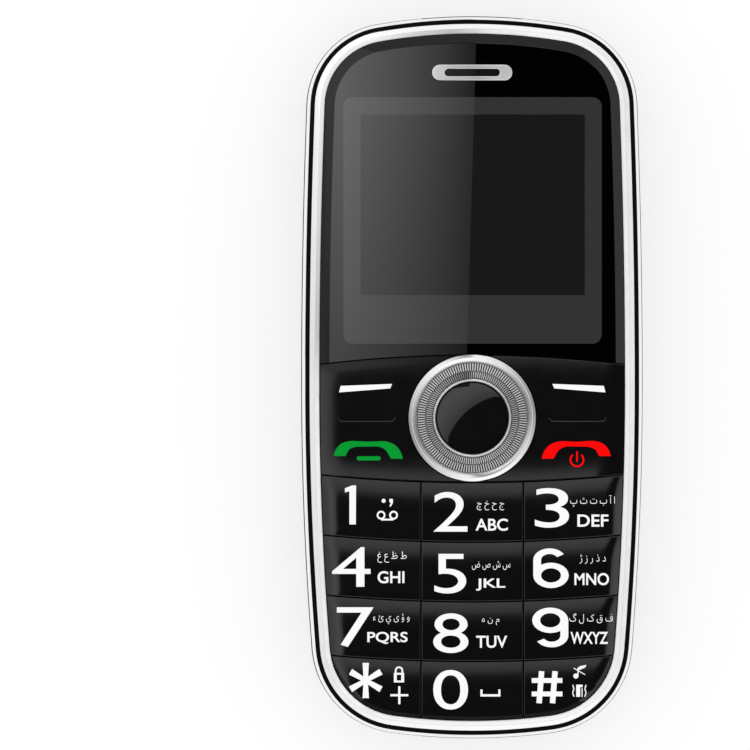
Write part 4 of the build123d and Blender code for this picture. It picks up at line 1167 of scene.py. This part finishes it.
handset = [(-21.66, -12.37, 0.1), (-21.3, -10.9, 1.0), (-19.6, -9.93, 1.1), (-16.3, -10.13, 0.0),
           (-12.9, -9.98, 1.2), (-11.25, -11.3, 0.9), (-10.84, -12.8, 0.1), (-12.73, -12.76, 0.1),
           (-13.4, -11.5, 0.4), (-14.4, -10.85, 0.6), (-18.6, -10.9, 0.7), (-19.35, -11.4, 0.3),
           (-19.82, -12.37, 0.1)]
soft_dash = [(-20.57, -1.39), (-12.53, -1.08), (-12.82, -1.78), (-20.83, -2.41)]
for hand, side_name, colour in ((-1, "left", print_green), (1, "right", print_red)):
    body = f"{side_name}_function_key"
    dash = bmesh.new()
    shape(dash, [(-hand * x, y) for x, y in soft_dash])
    printed(dash, f"{side_name}_soft_dash", body, print_white, plate_height)
    mark = bmesh.new()
    shape(mark, [(-hand * x, y, soft) for x, y, soft in handset])
    if hand < 0:
        shape(mark, [(-18.06, -13.05), (-14.33, -13.05), (-14.33, -12.4), (-18.06, -12.4)], 0.28)
    else:
        power_x, power_y, power_line = 16.39, -12.95, 0.28
        hoop(mark, power_x, power_y, 1.02, power_line, radians(130), radians(280))
        bar(mark, power_x, power_y - 0.3, power_x, power_y + 1.35, power_line)
    printed(mark, f"{side_name}_handset_mark", body, colour, plate_height)

# Setting: a plain white floor that keeps the phone's soft shadow, a wide pale sky whose
# middle is dark in reflections, and one dim card over the left half of the lens. The
# camera looks straight down, as the photograph's front view does.
def math(operation, *values):
    """One step of arithmetic in the node tree that is being made."""
    return shader_node(tree, "Math", dict(enumerate(values)), operation=operation).outputs[0]


def ramp(value, stops):
    """A level that follows a value through a few stops."""
    node = shader_node(tree, "ValToRGB", {"Fac": value})
    points = node.color_ramp.elements
    while len(points) < len(stops):
        points.new(1)
    for point, (position, level) in zip(points, stops):
        point.position = position
        point.color = (level, level, level, 1)
    return node.outputs["Color"]


def distance(x, y):
    """Distance in the sky from a place in it, in tangents of the angle from overhead."""
    dx = math("SUBTRACT", across, x)
    dy = math("SUBTRACT", along, y)
    return math("SQRT", math("ADD", math("MULTIPLY", dx, dx), math("MULTIPLY", dy, dy)))


floor_mesh = bmesh.new()
bmesh.ops.create_grid(floor_mesh, x_segments=1, y_segments=1, size=6)
floor = new_piece(floor_mesh, "floor")
paper_base = 0.32
paper_seen = 1.02
paper = bpy.data.materials.new("white_paper")
paper.use_nodes = True
tree = paper.node_tree
shader = tree.nodes["Principled BSDF"]
shader.inputs["Base Color"].default_value = (paper_base, paper_base, paper_base, 1)
shader.inputs["Roughness"].default_value = 0.9
shader.inputs["Specular IOR Level"].default_value = 0
shader.inputs["Emission Color"].default_value = (1, 1, 1, 1)
rays = tree.nodes.new("ShaderNodeLightPath").outputs
seen = math("MAXIMUM", rays["Is Camera Ray"], rays["Is Glossy Ray"])
glow = math("MULTIPLY", seen, paper_seen - paper_base)
tree.links.new(glow, shader.inputs["Emission Strength"])
floor.data.materials.append(paper)

dark_middle = (0.449, -0.499)
dark_r = 0.745
overhead_r = 0.48
sky_span = 2.0
sky_stops = [(0.0, 0.0), (0.004, 0.75), (0.07, 1.3), (0.12, 1.5), (0.25, 0.9), (0.4, 0.9), (0.6, 1.1),
             (1.0, 1.1)]
low_sky_stops = [(0.0, 0.12), (0.16, 0.12), (0.24, 1.0)]
sky = bpy.data.worlds.new("studio")
bpy.context.scene.world = sky
sky.use_nodes = True
tree = sky.node_tree
place = tree.nodes.new("ShaderNodeTexCoord").outputs["Generated"]
way = shader_node(tree, "SeparateXYZ", {0: place}).outputs
up = math("MAXIMUM", way["Z"], 0.08)
across = math("DIVIDE", way["X"], up)
along = math("DIVIDE", way["Y"], up)
reach = distance(0, 0)
past_curve = math("SUBTRACT", distance(*dark_middle), dark_r)
past_overhead = math("SUBTRACT", reach, overhead_r)
level = ramp(math("DIVIDE", math("MAXIMUM", past_curve, past_overhead), sky_span), sky_stops)
turn = radians(15)
ahead = math("SUBTRACT", math("MULTIPLY", along, cos(turn)), math("MULTIPLY", across, sin(turn)))
reach_squared = math("ADD", math("MULTIPLY", reach, reach), 0.001)
ahead_share = math("DIVIDE", math("MULTIPLY", ahead, ahead), reach_squared)
side_level = math("ADD", math("MULTIPLY", ahead_share, 0.85), 0.3)
far_share = ramp(math("DIVIDE", math("SUBTRACT", reach, 0.9), 0.6), [(0.0, 0.0), (1.0, 1.0)])
shade = math("ADD", 1.0, math("MULTIPLY", far_share, math("SUBTRACT", side_level, 1.0)))
low_sky = ramp(way["Z"], low_sky_stops)
mirrored = math("SUBTRACT", math("MULTIPLY", math("MULTIPLY", level, shade), low_sky), 1.0)
rays = tree.nodes.new("ShaderNodeLightPath").outputs
blend = math("ADD", math("MULTIPLY", rays["Is Glossy Ray"], mirrored), 1.0)
tree.links.new(blend, tree.nodes["Background"].inputs["Color"])

card_height = 30 * mm
bm = bmesh.new()
corners = [(-34, 62), (1.03, 62), (0.76, 52.8), (-0.39, 12.93), (-0.67, 3.4), (-8, 3.1), (-34, 1.0)]
bm.faces.new([bm.verts.new((x * mm, y * mm, card_height)) for x, y in corners])
card = new_piece(bm, "dim_card")
card.visible_camera = False
card.visible_diffuse = False
card.visible_shadow = False
card.visible_transmission = False
glowing = bpy.data.materials.new("dim_card")
glowing.use_nodes = True
tree = glowing.node_tree
tree.nodes.remove(tree.nodes["Principled BSDF"])
spot = shader_node(tree, "SeparateXYZ", {0: object_place(tree)}).outputs
fade = ranged(tree, spot["X"], -21 * mm, 0, 1.2, 0.17)
lift = ranged(tree, spot["Y"], 3 * mm, 46 * mm, 0.6, 1.2)
light = shader_node(tree, "Emission", {"Strength": math("MULTIPLY", fade, lift)})
tree.links.new(light.outputs[0], tree.nodes["Material Output"].inputs["Surface"])
card.data.materials.append(glowing)

camera_data = bpy.data.cameras.new("camera")
camera_data.lens = 400
camera_data.sensor_width = 36
camera_data.clip_end = 100
camera = bpy.data.objects.new("camera", camera_data)
bpy.context.scene.collection.objects.link(camera)
camera.location = (-15.2 * mm, 0.31 * mm, 1318.8 * mm)
bpy.context.scene.camera = camera
bpy.context.scene.view_settings.view_transform = "Standard"
